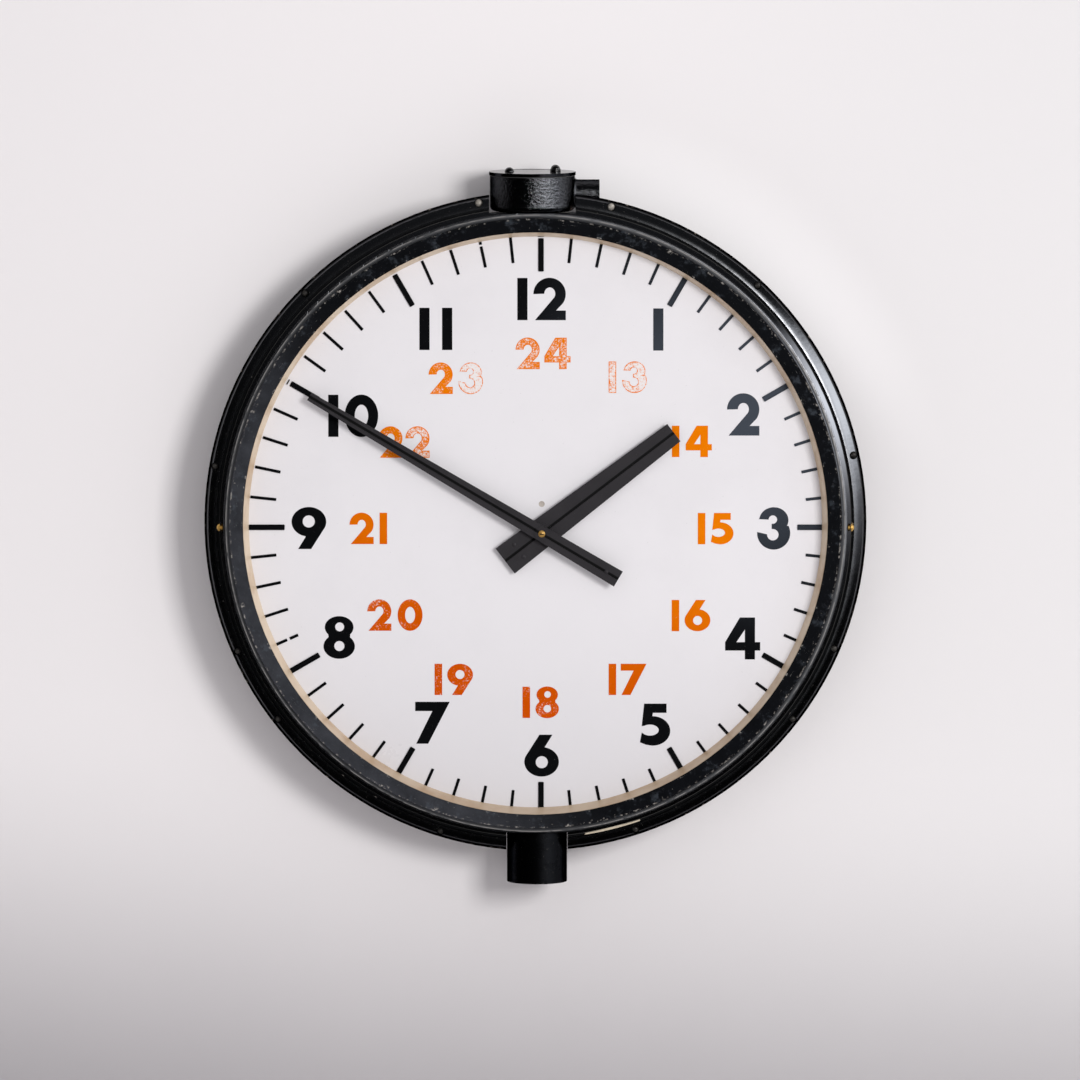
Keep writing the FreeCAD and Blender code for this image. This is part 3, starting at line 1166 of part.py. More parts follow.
def make_motion_work():
    """Cannon pinion, minute wheel with its pinion and stud, hour wheel and hour pipe."""
    cannon_teeth = gear_face(CANNON_TEETH, STUD_ANGLE)
    cannon = wheel("cannon_pinion", cannon_teeth, "sizes.cannon_length", "sizes.arbor_radius")
    at_arbor(cannon, CANNON_BACK)
    across, height = (f"{STUD_DISTANCE} * {turn(STUD_ANGLE)}" for turn in (math.cos, math.sin))
    stud_length = f"{PINION_FRONT} + sizes.flange_height - {FRONT_PLATE_BACK}"
    stud = rod("stud_rod", "sizes.thread_radius", stud_length,
               about_arbor(across, FRONT_PLATE_BACK, height), "front")
    shoulder = rod("stud_shoulder", "2 * sizes.thread_radius", f"{MINUTE_WHEEL_BACK} - {FRONT_PLATE_FRONT}",
                   about_arbor(across, FRONT_PLATE_FRONT, height), "front")
    keep(fuse("stud_solid", stud, shoulder), "wheel_stud")
    back_to_cannon = STUD_ANGLE + math.pi
    bore = "sizes.thread_radius + sizes.running_gap"
    minute_teeth = gear_face(MINUTE_WHEEL_TEETH, back_to_cannon + math.pi / MINUTE_WHEEL_TEETH)
    minute = wheel("minute_wheel", minute_teeth, "sizes.wheel_thickness", bore, spokes=4)
    put(minute, *about_arbor(across, MINUTE_WHEEL_BACK, height))
    pinion = wheel("minute_pinion", gear_face(PINION_TEETH, back_to_cannon), "sizes.pinion_length", bore)
    put(pinion, *about_arbor(across, PINION_BACK, height))
    hour_teeth = gear_face(HOUR_WHEEL_TEETH, STUD_ANGLE + math.pi / HOUR_WHEEL_TEETH)
    hour = wheel("hour_wheel", hour_teeth, "sizes.wheel_thickness", PIPE_OUTER, spokes=5)
    at_arbor(hour, HOUR_WHEEL_BACK)
    pipe = bored_rod("hour_pipe_tube", PIPE_OUTER, "sizes.arbor_radius + sizes.running_gap",
                     f"{HOUR_HAND_FRONT} - {PIPE_BACK}", about_arbor("0", PIPE_BACK, "0"), "front")
    flange = bored_rod("hour_pipe_flange", f"{PIPE_OUTER} + sizes.pipe_wall", PIPE_OUTER,
                       "sizes.flange_height", about_arbor("0", PIPE_BACK, "0"), "front")
    keep(fuse("hour_pipe_solid", pipe, flange), "hour_pipe")


# Electromagnet and armature

def make_magnet():
    """Two coils on iron cores that stand on a yoke."""
    width = "2 * (sizes.coil_spread + sizes.yoke_overhang)"
    yoke = block("yoke_bar", width, "sizes.yoke_depth", "sizes.yoke_height",
                 about_arbor(f"-({width}) / 2", f"{BACK_PLATE_FRONT} + sizes.yoke_depth",
                             f"{YOKE_TOP} - sizes.yoke_height"))
    keep(yoke, "magnet_yoke")
    sleeve = "sizes.core_radius + sizes.sleeve"
    winding_length = "sizes.core_length - 3 * sizes.cheek"
    origin = ("0", "0", "0")
    core = rod("core_rod", "sizes.core_radius", "sizes.core_length", origin, "up")
    bobbin_length = "sizes.core_length - sizes.cheek"
    tube = bored_rod("bobbin_tube", sleeve, "sizes.core_radius", bobbin_length, origin, "up")
    cheeks = [
        bored_rod(f"bobbin_cheek_{index}", "sizes.coil_radius", "sizes.core_radius", "sizes.cheek",
                  ("0", "0", level), "up")
        for index, level in enumerate(("0", "sizes.core_length - 2 * sizes.cheek"))
    ]
    bobbin = fuse("bobbin", tube, *cheeks)
    winding = bored_rod("winding", "sizes.winding_radius", sleeve, winding_length,
                        ("0", "0", "sizes.cheek"), "up")
    places = [
        from_arbor(f"{side}sizes.coil_spread", MAGNET_DEPTH, YOKE_TOP, "up") for side in ("-", "")
    ]
    copies("magnet_cores", core, places)
    copies("coil_bobbins", bobbin, places)
    copies("coil_windings", winding, places)


def make_armature():
    """The rocking armature bar with its hub and pawl lug, and its return spring."""
    front = f"({MAGNET_DEPTH} + sizes.rocker_width / 2)"
    length = "sizes.rocker_left + sizes.rocker_tail"
    bar = block("rocker_bar", length, "sizes.rocker_width", "sizes.rocker_height",
                about_arbor("-sizes.rocker_left", front, ROCKER_UNDERSIDE))
    lug = block("rocker_lug", "sizes.lug_thickness", "sizes.rocker_width", "sizes.lug_height",
                about_arbor("-sizes.rocker_left", front, ROCKER_TOP))
    pivot = about_arbor("sizes.rocker_right", f"{front} - sizes.rocker_width", "-sizes.rocker_drop")
    hub = rod("rocker_hub", "sizes.rocker_hub", "sizes.rocker_width", pivot, "front")
    hole = rod("rocker_hole", "sizes.thread_radius + sizes.running_gap", "sizes.rocker_width", pivot, "front")
    keep(cut("rocker_cut", fuse("rocker_solid", bar, lug, hub), hole), "armature")
    make_return_spring()


def make_return_spring():
    """A coil spring that hangs between the armature's tail and the spring post."""
    wire = value("sizes.spring_wire")
    radius = value("sizes.spring_radius") - wire / 2
    length = value("sizes.spring_length") - wire
    coil = Part.makeHelix(length / SPRING_TURNS, length, radius)
    start = FreeCAD.Vector(radius, 0, 0)
    corners = []
    for side in range(WIRE_SIDES + 1):
        turn = 2 * math.pi * side / WIRE_SIDES
        corners.append(start + FreeCAD.Vector(math.cos(turn), 0, math.sin(turn)) * (wire / 2))
    section = Part.makePolygon(corners)
    spring = document.addObject("Part::Feature", "coil_spring")
    spring.Shape = Part.Wire(coil.Edges).makePipeShell([section], True, True)
    put(spring, *about_arbor("sizes.spring_reach", MAGNET_DEPTH,
                             f"{ROCKER_UNDERSIDE} - sizes.spring_length + sizes.spring_wire / 2"))
    keep(spring, "return_spring")


def blade_end(tooth_angle):
    """A point in a notch of the ratchet wheel, just clear of the tooth front at an angle in degrees."""
    turn = math.radians(tooth_angle)
    gap = value("sizes.pawl_thickness")
    radius = value("sizes.ratchet_radius - sizes.tooth_depth") + gap
    across = FreeCAD.Vector(-math.sin(turn), 0, math.cos(turn))
    outward = FreeCAD.Vector(math.cos(turn), 0, math.sin(turn))
    return outward * radius + across * (0.7 * gap)


def blade(label, path, back, width):
    """A spring blade of constant thickness along a path in the plane of the ratchet wheel."""
    half = value("sizes.pawl_thickness") / 2
    sides = []
    for index, point in enumerate(path):
        before, after = path[max(index - 1, 0)], path[min(index + 1, len(path) - 1)]
        first = (point - before).normalize() if index else (after - point).normalize()
        last = (after - point).normalize() if index < len(path) - 1 else first
        mean = (first + last).normalize()
        normal = FreeCAD.Vector(-mean.z, 0, mean.x) * (half / mean.dot(first))
        sides.append((point + normal, point - normal))
    outline = [left for left, right in sides] + [right for left, right in reversed(sides)]
    face = Part.Face(Part.makePolygon(outline + outline[:1]))
    node = document.addObject("Part::Feature", label)
    node.Shape = face.extrude(FreeCAD.Vector(0, -value(width), 0))
    keep(node, label)
    at_arbor(node, back)


def make_blades():
    """The driving pawl on the armature's lug and the click that stops the wheel running back."""
    half = value("sizes.pawl_thickness") / 2
    lug_face = value("-sizes.rocker_left + sizes.lug_thickness") + half
    lug_top = value(f"{ROCKER_TOP} + sizes.lug_height")
    blade("drive_pawl", [
        FreeCAD.Vector(lug_face, 0, value(ROCKER_TOP)),
        FreeCAD.Vector(lug_face, 0, lug_top),
        blade_end(PAWL_TOOTH_ANGLE),
    ], RATCHET_BACK, "sizes.wheel_thickness")
    post = FreeCAD.Vector(value("-sizes.click_left"), 0, value("sizes.ratchet_radius + sizes.click_rise"))
    rest = value("sizes.thread_radius") + half
    blade("backstop_click", [
        post + FreeCAD.Vector(-rest, 0, rest),
        post + FreeCAD.Vector(rest, 0, rest),
        blade_end(CLICK_TOOTH_ANGLE),
    ], RATCHET_BACK, "sizes.wheel_thickness")


# Hands

def turn_hand(item, angle):
    """Set a piece of a hand on the hands' axis, at the angle that the hand shows."""
    item.Placement = FreeCAD.Placement(
        FreeCAD.Vector(0, 0, 0), FreeCAD.Rotation(FreeCAD.Vector(0, 1, 0), value(angle)))
    item.setExpression("Placement.Rotation.Angle", angle)
    at_arbor(item)


def hand_width(name, height):
    """Half the width of a tapered hand at a height above its axis."""
    tip, tail = f"sizes.{name}_tip", f"sizes.{name}_tail"
    share = f"(({height}) + {tail}) / ({tip} + {tail})"
    return f"((sizes.{name}_tail_width + (sizes.{name}_tip_width - sizes.{name}_tail_width) * {share}) / 2)"


def make_hand(name, level, hole, hole_length, pad_radius, rivets):
    """A flat tapered hand with a groove pressed along it, a raised pad and rivet holes."""
    tip, tail = f"sizes.{name}_tip", f"-sizes.{name}_tail"
    half_tip, half_tail = hand_width(name, tip), hand_width(name, tail)
    hand = flat_plate(f"{name}_hand", [
        (f"-{half_tail}", tail),
        (half_tail, tail),
        (half_tip, tip),
        (f"-{half_tip}", tip),
    ], level, "sizes.hand_sheet")
    groove = new_sketch(hand, "XZ_Plane", f"{level} + sizes.hand_sheet - sizes.groove_depth")
    half = "sizes.groove_width / 2"
    trace(groove, [(f"-{half}", tail), (half, tail), (half, tip), (f"-{half}", tip)])
    pocket(hand, groove)
    raised = new_sketch(hand, "XZ_Plane", level)
    draw_circles(raised, [("0", "0", pad_radius)])
    pad(hand, raised, "sizes.hand_sheet + sizes.pad_height")
    drill(hand, [("0", "0", hole)], level, hole_length)
    drill(hand, [(*rivet, "sizes.rivet_radius") for rivet in rivets], level)
    turn_hand(hand, f"sizes.{name}_angle")
    return hand


def make_weight(name, level, rivets):
    """The counterweight behind a hand's tail, and the rivets that hold it."""
    tail = f"-sizes.{name}_tail + sizes.weight_inset"
    top = f"-sizes.{name}_weight_start"
    weight = flat_plate(f"{name}_counterweight", [
        (f"-({hand_width(name, tail)} - sizes.weight_inset)", tail),
        (f"{hand_width(name, tail)} - sizes.weight_inset", tail),
        (f"{hand_width(name, top)} - sizes.weight_inset", top),
        (f"-({hand_width(name, top)} - sizes.weight_inset)", top),
    ], f"{level} - sizes.weight_thickness", "sizes.weight_thickness")
    drill(weight, [(*rivet, "sizes.rivet_radius") for rivet in rivets])
    turn_hand(weight, f"sizes.{name}_angle")
    rivet = domed_rivet(f"{name}_rivet", "sizes.hand_sheet + sizes.weight_thickness")
    turned = FreeCAD.Placement(
        FreeCAD.Vector(value("sizes.arbor_right"), 0, value("-sizes.arbor_drop")),
        FreeCAD.Rotation(FreeCAD.Vector(0, 1, 0), value(f"sizes.{name}_angle")))
    copies(f"{name}_rivets", rivet, [
        turned.multiply(shifted(across, f"{level} + sizes.hand_sheet", height, "front"))
        for across, height in rivets
    ])


def domed_rivet(name, length):
    """A rivet with a domed head, standing upright with its head on the origin's plane."""
    body = document.addObject("PartDesign::Body", name)
    sketch = new_sketch(body, "XZ_Plane")
    head, height = "sizes.rivet_head", "sizes.rivet_height"
    trace(sketch, [
        ("0", f"-({length})"),
        ("sizes.rivet_radius", f"-({length})"),
        ("sizes.rivet_radius", "0"),
        (head, "0"),
        ("0", height, f"({head} ^ 2 + {height} ^ 2) / (2 * {height})"),
    ])
    revolve(body, sketch)
    return body


def make_hands():
    """Both hands with their bosses and counterweights, and the screw that holds them."""
    hour_rivets = [(f"{side}sizes.hour_rivet_spread", "-sizes.hour_rivet_reach") for side in ("-", "")]
    minute_rivets = [("0", "-sizes.minute_rivet_reach")]
    make_hand("hour", HOUR_HAND_BACK, PIPE_OUTER, "sizes.hand_sheet + sizes.pad_height",
              "sizes.hour_pad", hour_rivets)
    make_weight("hour", HOUR_HAND_BACK, hour_rivets)
    minute_hand = make_hand("minute", MINUTE_HAND_BACK, "sizes.arbor_radius", "sizes.hand_sheet",
                            "sizes.minute_pad", minute_rivets)
    drill(minute_hand, [("0", "0", "sizes.hand_screw_shank + sizes.hole_gap")], MINUTE_HAND_BACK)
    make_weight("minute", MINUTE_HAND_BACK, minute_rivets)
    hour_boss = bored_rod("hour_boss_ring", f"{PIPE_OUTER} + sizes.hour_boss_wall", PIPE_OUTER,
                          "sizes.hour_gap - sizes.boss_gap",
                          about_arbor("0", f"{DIAL_FRONT} + sizes.boss_gap", "0"), "front")
    keep(hour_boss, "hour_boss")
    clear = "(sizes.pad_height + sizes.boss_gap)"
    boss_radius = "sizes.arbor_radius + sizes.minute_boss_wall"
    minute_boss = bored_rod("minute_boss_ring", boss_radius, "sizes.arbor_radius",
                            f"sizes.hand_gap - {clear}",
                            about_arbor("0", f"{HOUR_HAND_FRONT} + {clear}", "0"), "front")
    keep(minute_boss, "minute_boss")
    screw = domed_screw("middle_screw", "sizes.hand_screw_head", "sizes.head_height",
                        "sizes.hand_screw_shank", "sizes.hand_screw_length")
    copies("hand_screw", screw, [from_arbor("0", MINUTE_PAD_FRONT, "0")])


def main():
    make_case()
    make_seat_ring()
    make_flange_ring()
    make_bezel()
    make_dial()
    make_ring_fasteners()
    make_box()
    make_box_lid()
    make_box_fittings()
    make_tube()
    make_plates()
    make_studs()
    make_arbor()
    make_motion_work()
    make_magnet()
    make_armature()
    make_blades()
    make_hands()
    document.recompute()
    for item in document.Objects:
        if {"Invalid", "Error"} & set(item.State):
            raise RuntimeError(f"{item.Name} failed: {item.State}")
    for label, item in nodes.items():
        if item.Shape.isNull() or not item.Shape.isValid():
            raise RuntimeError(f"{label} has no valid shape")
    os.makedirs("parts", exist_ok=True)
    for label, item in nodes.items():
        item.Shape.exportStep(f"parts/{label}.step")


main()
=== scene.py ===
import json
import math

import bpy
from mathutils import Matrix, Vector


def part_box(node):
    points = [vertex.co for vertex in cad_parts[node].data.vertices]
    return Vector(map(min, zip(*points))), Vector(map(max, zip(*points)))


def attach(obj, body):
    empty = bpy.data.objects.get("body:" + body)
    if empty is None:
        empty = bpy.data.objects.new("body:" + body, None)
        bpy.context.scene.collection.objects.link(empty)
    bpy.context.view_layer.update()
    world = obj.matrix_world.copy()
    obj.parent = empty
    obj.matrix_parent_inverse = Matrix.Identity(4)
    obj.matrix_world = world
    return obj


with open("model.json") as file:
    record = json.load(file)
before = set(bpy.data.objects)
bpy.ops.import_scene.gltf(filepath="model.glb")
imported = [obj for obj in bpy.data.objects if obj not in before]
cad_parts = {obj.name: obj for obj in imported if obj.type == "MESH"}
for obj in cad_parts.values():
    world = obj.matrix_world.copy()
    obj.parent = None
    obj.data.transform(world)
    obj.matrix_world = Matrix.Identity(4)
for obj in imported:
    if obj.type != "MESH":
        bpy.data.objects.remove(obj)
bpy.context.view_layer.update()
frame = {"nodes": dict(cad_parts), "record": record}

MM = 0.001

# Places on the CAD nodes that the paint and the print follow, in metres in the shared frame.
PRINT_FACE = -65.7 * MM
PIVOT = Vector((0.0063, -0.07, -0.01))
# Where the painted reflection on the black print is strongest.
PAINTED_SHEEN_PLACE = (0.2, PRINT_FACE, 0.11)
FIXING_HOLE = (0.18, 0.0, 0.14)
RUSTY_PLACE = (0.0425, -0.062, 0.31)
FLAT_DEPTHS = (-81.5 * MM, -83.5 * MM)
FLAT_INNER_EDGE = 292.6 * MM
FLAT_OUTER_EDGE = 304.8 * MM
SKIRT_START = (305.2 * MM, 306.4 * MM)
BEAD_RADIUS = 308.8 * MM
BAND_INNER_EDGE = 318.4 * MM
BAND_MIDDLE = 324.6 * MM
BAND_HALF_WIDTH = 6.6 * MM
# Where the painted shade on the band's outer edge starts and where it is full.
BAND_EDGE_SHADE = (326.5 * MM, 329.2 * MM)
BAND_OUTER_EDGE = 330.6 * MM
FORWARD_AXIS = ((0.0, 1.0, 0.0), (0.0, 0.0, 0.0))

# The print's places are in the upright view that the camera below takes: one unit is 1 mm.
VIEW_CENTRE = (535.4, 522.65)
VIEW_SQUASH = 0.9954
PRINT_CENTRE = (541.0, 527.25)
BLACK_CAP = 42.0
ORANGE_CAP = 31.3
HOUR_TICK_START = 256.2
HOUR_TICK_WIDTH = 5.5
MINUTE_TICK_START = 266.0
MINUTE_TICK_WIDTH = 2.9
TICK_END = 292.0
INK_THICKNESS = 0.1

# A figure more worn than this share gets a rim this wide in mm, where its ink has lasted better.
BADLY_WORN = 0.3
RIM_WIDTH = 0.9
RIM_STEP = 0.04

# The pale end of the seal: where it starts, how far it runs round the clock, and its middle and size in mm.
SEAL_START = math.radians(-81.0)
SEAL_RUN = math.radians(10.3)
SEAL_MIDDLE = (316.5, -68.6)
SEAL_SIZE = (2.3, 2.4, 0.2)

# The raised lid screw, in mm: from the screws' right end to its axis, from the lid to its head, and the
# radius of the paint that has run down from it.
RAISED_SCREW_INSET = 4.8
RAISED_SCREW_GAP = 2.6
PAINT_RUN_RADIUS = 4.3

# The camera and the stage, in metres apart from the sensor, which is in mm.
CAMERA_TARGET = Vector((0.0046, -0.0617, -0.0178))
CAMERA_DISTANCE = 10.0
CAMERA_TILT = math.radians(5.5)
VIEW_WIDTH = 1.08
SENSOR_WIDTH = 36.0
WALL_GAP = 0.6 * MM
WALL_SIZE = 8.0
FLOOR_LEVEL = -0.72
FLOOR_DEPTH = 1.8


class Wire:
    """A shader socket that takes part in plain arithmetic, and a maker of the other nodes."""

    def __init__(self, tree, socket=None):
        self.tree = tree
        self.socket = socket

    def node(self, kind, settings=None, sockets=None, output=0):
        """Adds a node with its settings and with a wire or a value for each socket; returns one output."""
        made = self.tree.nodes.new(kind)
        for name, value in (settings or {}).items():
            setattr(made, name, value)
        for name, value in (sockets or {}).items():
            if isinstance(value, Wire):
                self.tree.links.new(value.socket, made.inputs[name])
            else:
                made.inputs[name].default_value = value
        return Wire(self.tree, made.outputs[output] if made.outputs else None)

    def math(self, operation, first, second):
        return self.node("ShaderNodeMath", {"operation": operation}, {0: first, 1: second})

    def __abs__(self):
        return self.node("ShaderNodeMath", {"operation": "ABSOLUTE"}, {0: self})

    def __add__(self, other):
        return self.math("ADD", self, other)

    def __radd__(self, other):
        return self.math("ADD", other, self)

    def __sub__(self, other):
        return self.math("SUBTRACT", self, other)

    def __rsub__(self, other):
        return self.math("SUBTRACT", other, self)

    def __mul__(self, other):
        return self.math("MULTIPLY", self, other)

    def __rmul__(self, other):
        return self.math("MULTIPLY", other, self)

    def __truediv__(self, other):
        return self.math("DIVIDE", self, other)

    def __rtruediv__(self, other):
        return self.math("DIVIDE", other, self)

    def __pow__(self, other):
        return self.math("POWER", self, other)

    def __rpow__(self, other):
        return self.math("POWER", other, self)


def tone(red, green, blue):
    """A screen colour, 0 to 255, as the linear colour that a shader takes."""
    shares = [level / 255 for level in (red, green, blue)]
    linear = [share / 12.92 if share < 0.04 else ((share + 0.055) / 1.055) ** 2.4 for share in shares]
    return (*linear, 1.0)


def start(name):
    """A new empty material, and a pen that draws its nodes."""
    material = bpy.data.materials.new(name)
    material.use_nodes = True
    material.node_tree.nodes.clear()
    return material, Wire(material.node_tree)


def place_of(pen):
    """The place on the piece in the shared frame, in metres."""
    return pen.node("ShaderNodeTexCoord", output="Object")


def axes_of(pen, place):
    split = pen.node("ShaderNodeSeparateXYZ", None, {0: place}).socket.node
    return [Wire(pen.tree, socket) for socket in split.outputs]


def stretched(pen, place, scale):
    return pen.node("ShaderNodeMapping", None, {"Vector": place, "Scale": scale})


def noise(pen, place, scale, detail=4.0, rough=0.55):
    sockets = {"Vector": place, "Scale": scale, "Detail": detail, "Roughness": rough}
    return pen.node("ShaderNodeTexNoise", None, sockets, "Fac")


def rise(pen, value, low, high):
    """0 below low and 1 above high, smooth between; a low above high falls instead."""
    sockets = {"Value": value, "From Min": low, "From Max": high}
    return pen.node("ShaderNodeMapRange", {"interpolation_type": "SMOOTHSTEP"}, sockets)


def span(pen, value, low, high):
    """A value of 0 to 1 stretched to run from low to high."""
    return pen.node("ShaderNodeMapRange", None, {"Value": value, "To Min": low, "To Max": high})


def near(pen, value, middle, reach):
    """1 at the middle and 0 further away than the reach."""
    return rise(pen, abs(value - middle), reach, 0.0)


def larger(pen, first, second):
    return pen.math("MAXIMUM", first, second)


def mix(pen, factor, first, second):
    return pen.node("ShaderNodeMix", {"data_type": "RGBA"}, {0: factor, 6: first, 7: second}, 2)


def bump(pen, height, strength, distance, normal=None):
    sockets = {"Height": height, "Strength": strength, "Distance": distance}
    if normal:
        sockets["Normal"] = normal
    return pen.node("ShaderNodeBump", None, sockets)


def dress(pen, sockets):
    """Ends a material with one principled surface."""
    surface = pen.node("ShaderNodeBsdfPrincipled", None, sockets)
    pen.node("ShaderNodeOutputMaterial", None, {"Surface": surface})


def vector(pen, operation, first, second=None, output="Vector"):
    sockets = {0: first} if second is None else {0: first, 1: second}
    return pen.node("ShaderNodeVectorMath", {"operation": operation}, sockets, output)


def even_normal(pen, place, along=(0.0, 1.0, 0.0), middle=(0.0, 0.0, 0.0)):
    """The normal of a round piece about an axis, even across its mesh's flats.

    Faces that aren't part of the round keep their own normal."""
    seen = pen.node("ShaderNodeNewGeometry", output="True Normal")
    across = tuple(1.0 - share for share in along)
    from_axis = vector(pen, "MULTIPLY", vector(pen, "SUBTRACT", place, middle), across)
    spoke = vector(pen, "NORMALIZE", from_axis)
    outward = vector(pen, "DOT_PRODUCT", seen, spoke, "Value")
    leaning = pen.node("ShaderNodeVectorMath", {"operation": "SCALE"}, {0: spoke, "Scale": outward})
    even = vector(pen, "ADD", vector(pen, "MULTIPLY", seen, along), leaning)
    kept = rise(pen, vector(pen, "LENGTH", even, output="Value"), 0.9, 0.97)
    return pen.node("ShaderNodeMix", {"data_type": "VECTOR"}, {0: kept, 4: seen, 5: even}, 1)


def radius_of(pen, place):
    """The distance from the axis through the middle of the dial."""
    x, _, z = axes_of(pen, place)
    return (x * x + z * z) ** 0.5


def gloss_paint(name, lumps, lump_size, dust, chips=(), rust=None, shine=1.5, crown=None,
                round_about=None, gleam=None, satin=0.0, bright_top=False):
    """Thick black gloss: lumps of old coats, dust, pale chips at some radii and a rusty place.

    A crown makes the flange's band full in the middle by that height, and darkens its outer edge with
    painted shade. With a gleam, the gloss is that of a dark metal, which stays black where it is seen edge
    on. A bright top shines as plain paint does."""
    material, pen = start(name)
    place = place_of(pen)
    coarse = noise(pen, place, lump_size, 3.0)
    fine = noise(pen, place, lump_size * 4.3, 3.0)
    speck = rise(pen, noise(pen, place, 640.0, 3.0, 0.6), 0.69, 0.75) * dust
    dark = tone(3, 3, 4)
    light = tone(9, 9, 10)
    if gleam:
        dark = tone(gleam - 5, gleam - 4, gleam - 2)
        light = tone(gleam + 4, gleam + 5, gleam + 8)
    colour = mix(pen, noise(pen, place, 21.0), dark, light)
    if crown:
        # Painted shade: the band is darker towards its outer edge.
        colour = mix(pen, rise(pen, radius_of(pen, place), *BAND_EDGE_SHADE), colour, tone(16, 16, 17))
    colour = mix(pen, speck, colour, tone(110, 106, 100))
    bare = speck
    if bright_top:
        level = axes_of(pen, pen.node("ShaderNodeNewGeometry", output="True Normal"))[2]
        top = rise(pen, level, 0.6, 0.9)
        colour = mix(pen, top, colour, tone(10, 10, 11))
    for at, reach, share in chips:
        edge = near(pen, radius_of(pen, place), at, reach)
        chip = edge * rise(pen, noise(pen, place, 210.0, 5.0, 0.65), share, share + 0.05)
        colour = mix(pen, chip, colour, tone(128, 120, 112))
        bare = larger(pen, bare, chip)
    if rust:
        middle, reach = rust
        gap = vector(pen, "DISTANCE", place, middle, "Value")
        spot = rise(pen, gap / reach + noise(pen, place, 190.0) - 0.5, 1.0, 0.45)
        colour = mix(pen, spot, colour, tone(120, 88, 62))
        bare = larger(pen, bare, spot)
    gloss = 1.0 - bare if gleam else 0.0
    if bright_top:
        gloss = gloss * (1.0 - top)
    even = even_normal(pen, place, *round_about) if round_about else None
    relief = bump(pen, coarse * 0.7 + fine * 0.3, lumps, 0.002, even)
    dull = bare * 0.4
    if crown:
        radius = radius_of(pen, place)
        inner_side = BAND_MIDDLE - BAND_HALF_WIDTH * 0.75
        dull = dull + near(pen, radius, inner_side, BAND_HALF_WIDTH * 0.6) * 0.16
        across = pen.node("ShaderNodeMapRange", None, {
            "Value": radius,
            "From Min": BAND_MIDDLE - BAND_HALF_WIDTH,
            "From Max": BAND_MIDDLE + BAND_HALF_WIDTH,
            "To Min": -1.0,
        })
        relief = bump(pen, 1.0 - across * across, 1.0, crown, relief)
    dress(pen, {
        "Base Color": colour,
        "Metallic": gloss,
        "Roughness": span(pen, noise(pen, place, 60.0), 0.06 + satin, 0.18 + satin) + dull,
        "IOR": shine,
        "Specular Tint": (0.0, 0.0, 0.0, 1.0) if gleam else (1.0, 1.0, 1.0, 1.0),
        "Normal": relief,
    })
    return material


def bezel_paint():
    """Gloss on the skirt, rubbed matt on the flat front, chipped at both its corners, with a painted
    highlight along the bead's crest.
    """
    material, pen = start("bezel_black")
    place = place_of(pen)
    radius = radius_of(pen, place)
    x, y, z = axes_of(pen, place)
    flat = rise(pen, y, *FLAT_DEPTHS)
    grain = noise(pen, place, 36.0, 5.0)

    def flaked(scale, low, high):
        return rise(pen, noise(pen, place, scale, 6.0, 0.7), low, high)

    # The flat front is paler towards the lower left.
    paler_lower_left = rise(pen, x * -0.87 - z * 0.5, 0.06, 0.24)
    dark = mix(pen, grain, tone(2, 3, 5), tone(15, 17, 22))
    worn = mix(pen, paler_lower_left, dark, mix(pen, grain, tone(12, 13, 16), tone(72, 74, 80)))
    skirt_black = mix(pen, grain, tone(102, 103, 106), tone(114, 115, 118))
    colour = mix(pen, flat, skirt_black, worn)
    rubbed = flat * flaked(75.0, 0.54, 0.7)
    colour = mix(pen, rubbed * 0.35, colour, tone(78, 84, 92))
    turn = pen.math("ARCTAN2", z, x)
    polar = pen.node("ShaderNodeCombineXYZ", None, {0: turn * 2.2, 1: radius * 160.0})
    scratch = flat * rise(pen, noise(pen, polar, 9.0, 4.0, 0.7), 0.66, 0.73)
    colour = mix(pen, scratch * 0.7, colour, tone(168, 168, 166))
    outer = near(pen, radius, FLAT_OUTER_EDGE, 1.3 * MM) * flaked(190.0, 0.52, 0.62)
    patch = near(pen, radius, FLAT_OUTER_EDGE - 0.8 * MM, 3.4 * MM) * flaked(105.0, 0.62, 0.67)
    inner = near(pen, radius, FLAT_INNER_EDGE, 1.4 * MM) * flaked(150.0, 0.6, 0.66)
    dots = rise(pen, noise(pen, place, 420.0, 3.0, 0.6), 0.72, 0.76)
    chip = larger(pen, larger(pen, larger(pen, outer * 0.8, patch), inner), dots * (0.2 + flat * 0.5))
    colour = mix(pen, chip * 0.8, colour, mix(pen, grain, tone(120, 112, 104), tone(206, 202, 196)))
    # A pale line along the bead's crest: a painted highlight.
    crest = near(pen, radius, BEAD_RADIUS, 0.7 * MM)
    bead = near(pen, radius, BEAD_RADIUS, 4.5 * MM)
    crest_painted_highlight = crest * rise(pen, noise(pen, place, 60.0, 5.0, 0.6), 0.36, 0.52)
    colour = mix(pen, crest_painted_highlight * 0.75, colour, tone(150, 146, 142))
    skirt = rise(pen, radius, *SKIRT_START)
    lean = pen.node("ShaderNodeCombineXYZ", None, {1: skirt * -0.6})
    even = vector(pen, "NORMALIZE", vector(pen, "ADD", even_normal(pen, place), lean))
    height = (noise(pen, place, 130.0) - chip * 0.6) * (0.06 + flat * 0.94)
    dress(pen, {
        "Base Color": colour,
        "Metallic": (1.0 - flat) * (1.0 - larger(pen, chip, crest_painted_highlight)),
        "Roughness": larger(pen, 0.1 + flat * span(pen, grain, 0.36, 0.52) + chip * 0.2, bead * 0.5),
        "IOR": 1.26,
        "Specular Tint": (0.3, 0.3, 0.3, 1.0),
        "Normal": bump(pen, height, 0.18, 0.001, even),
    })
    return material


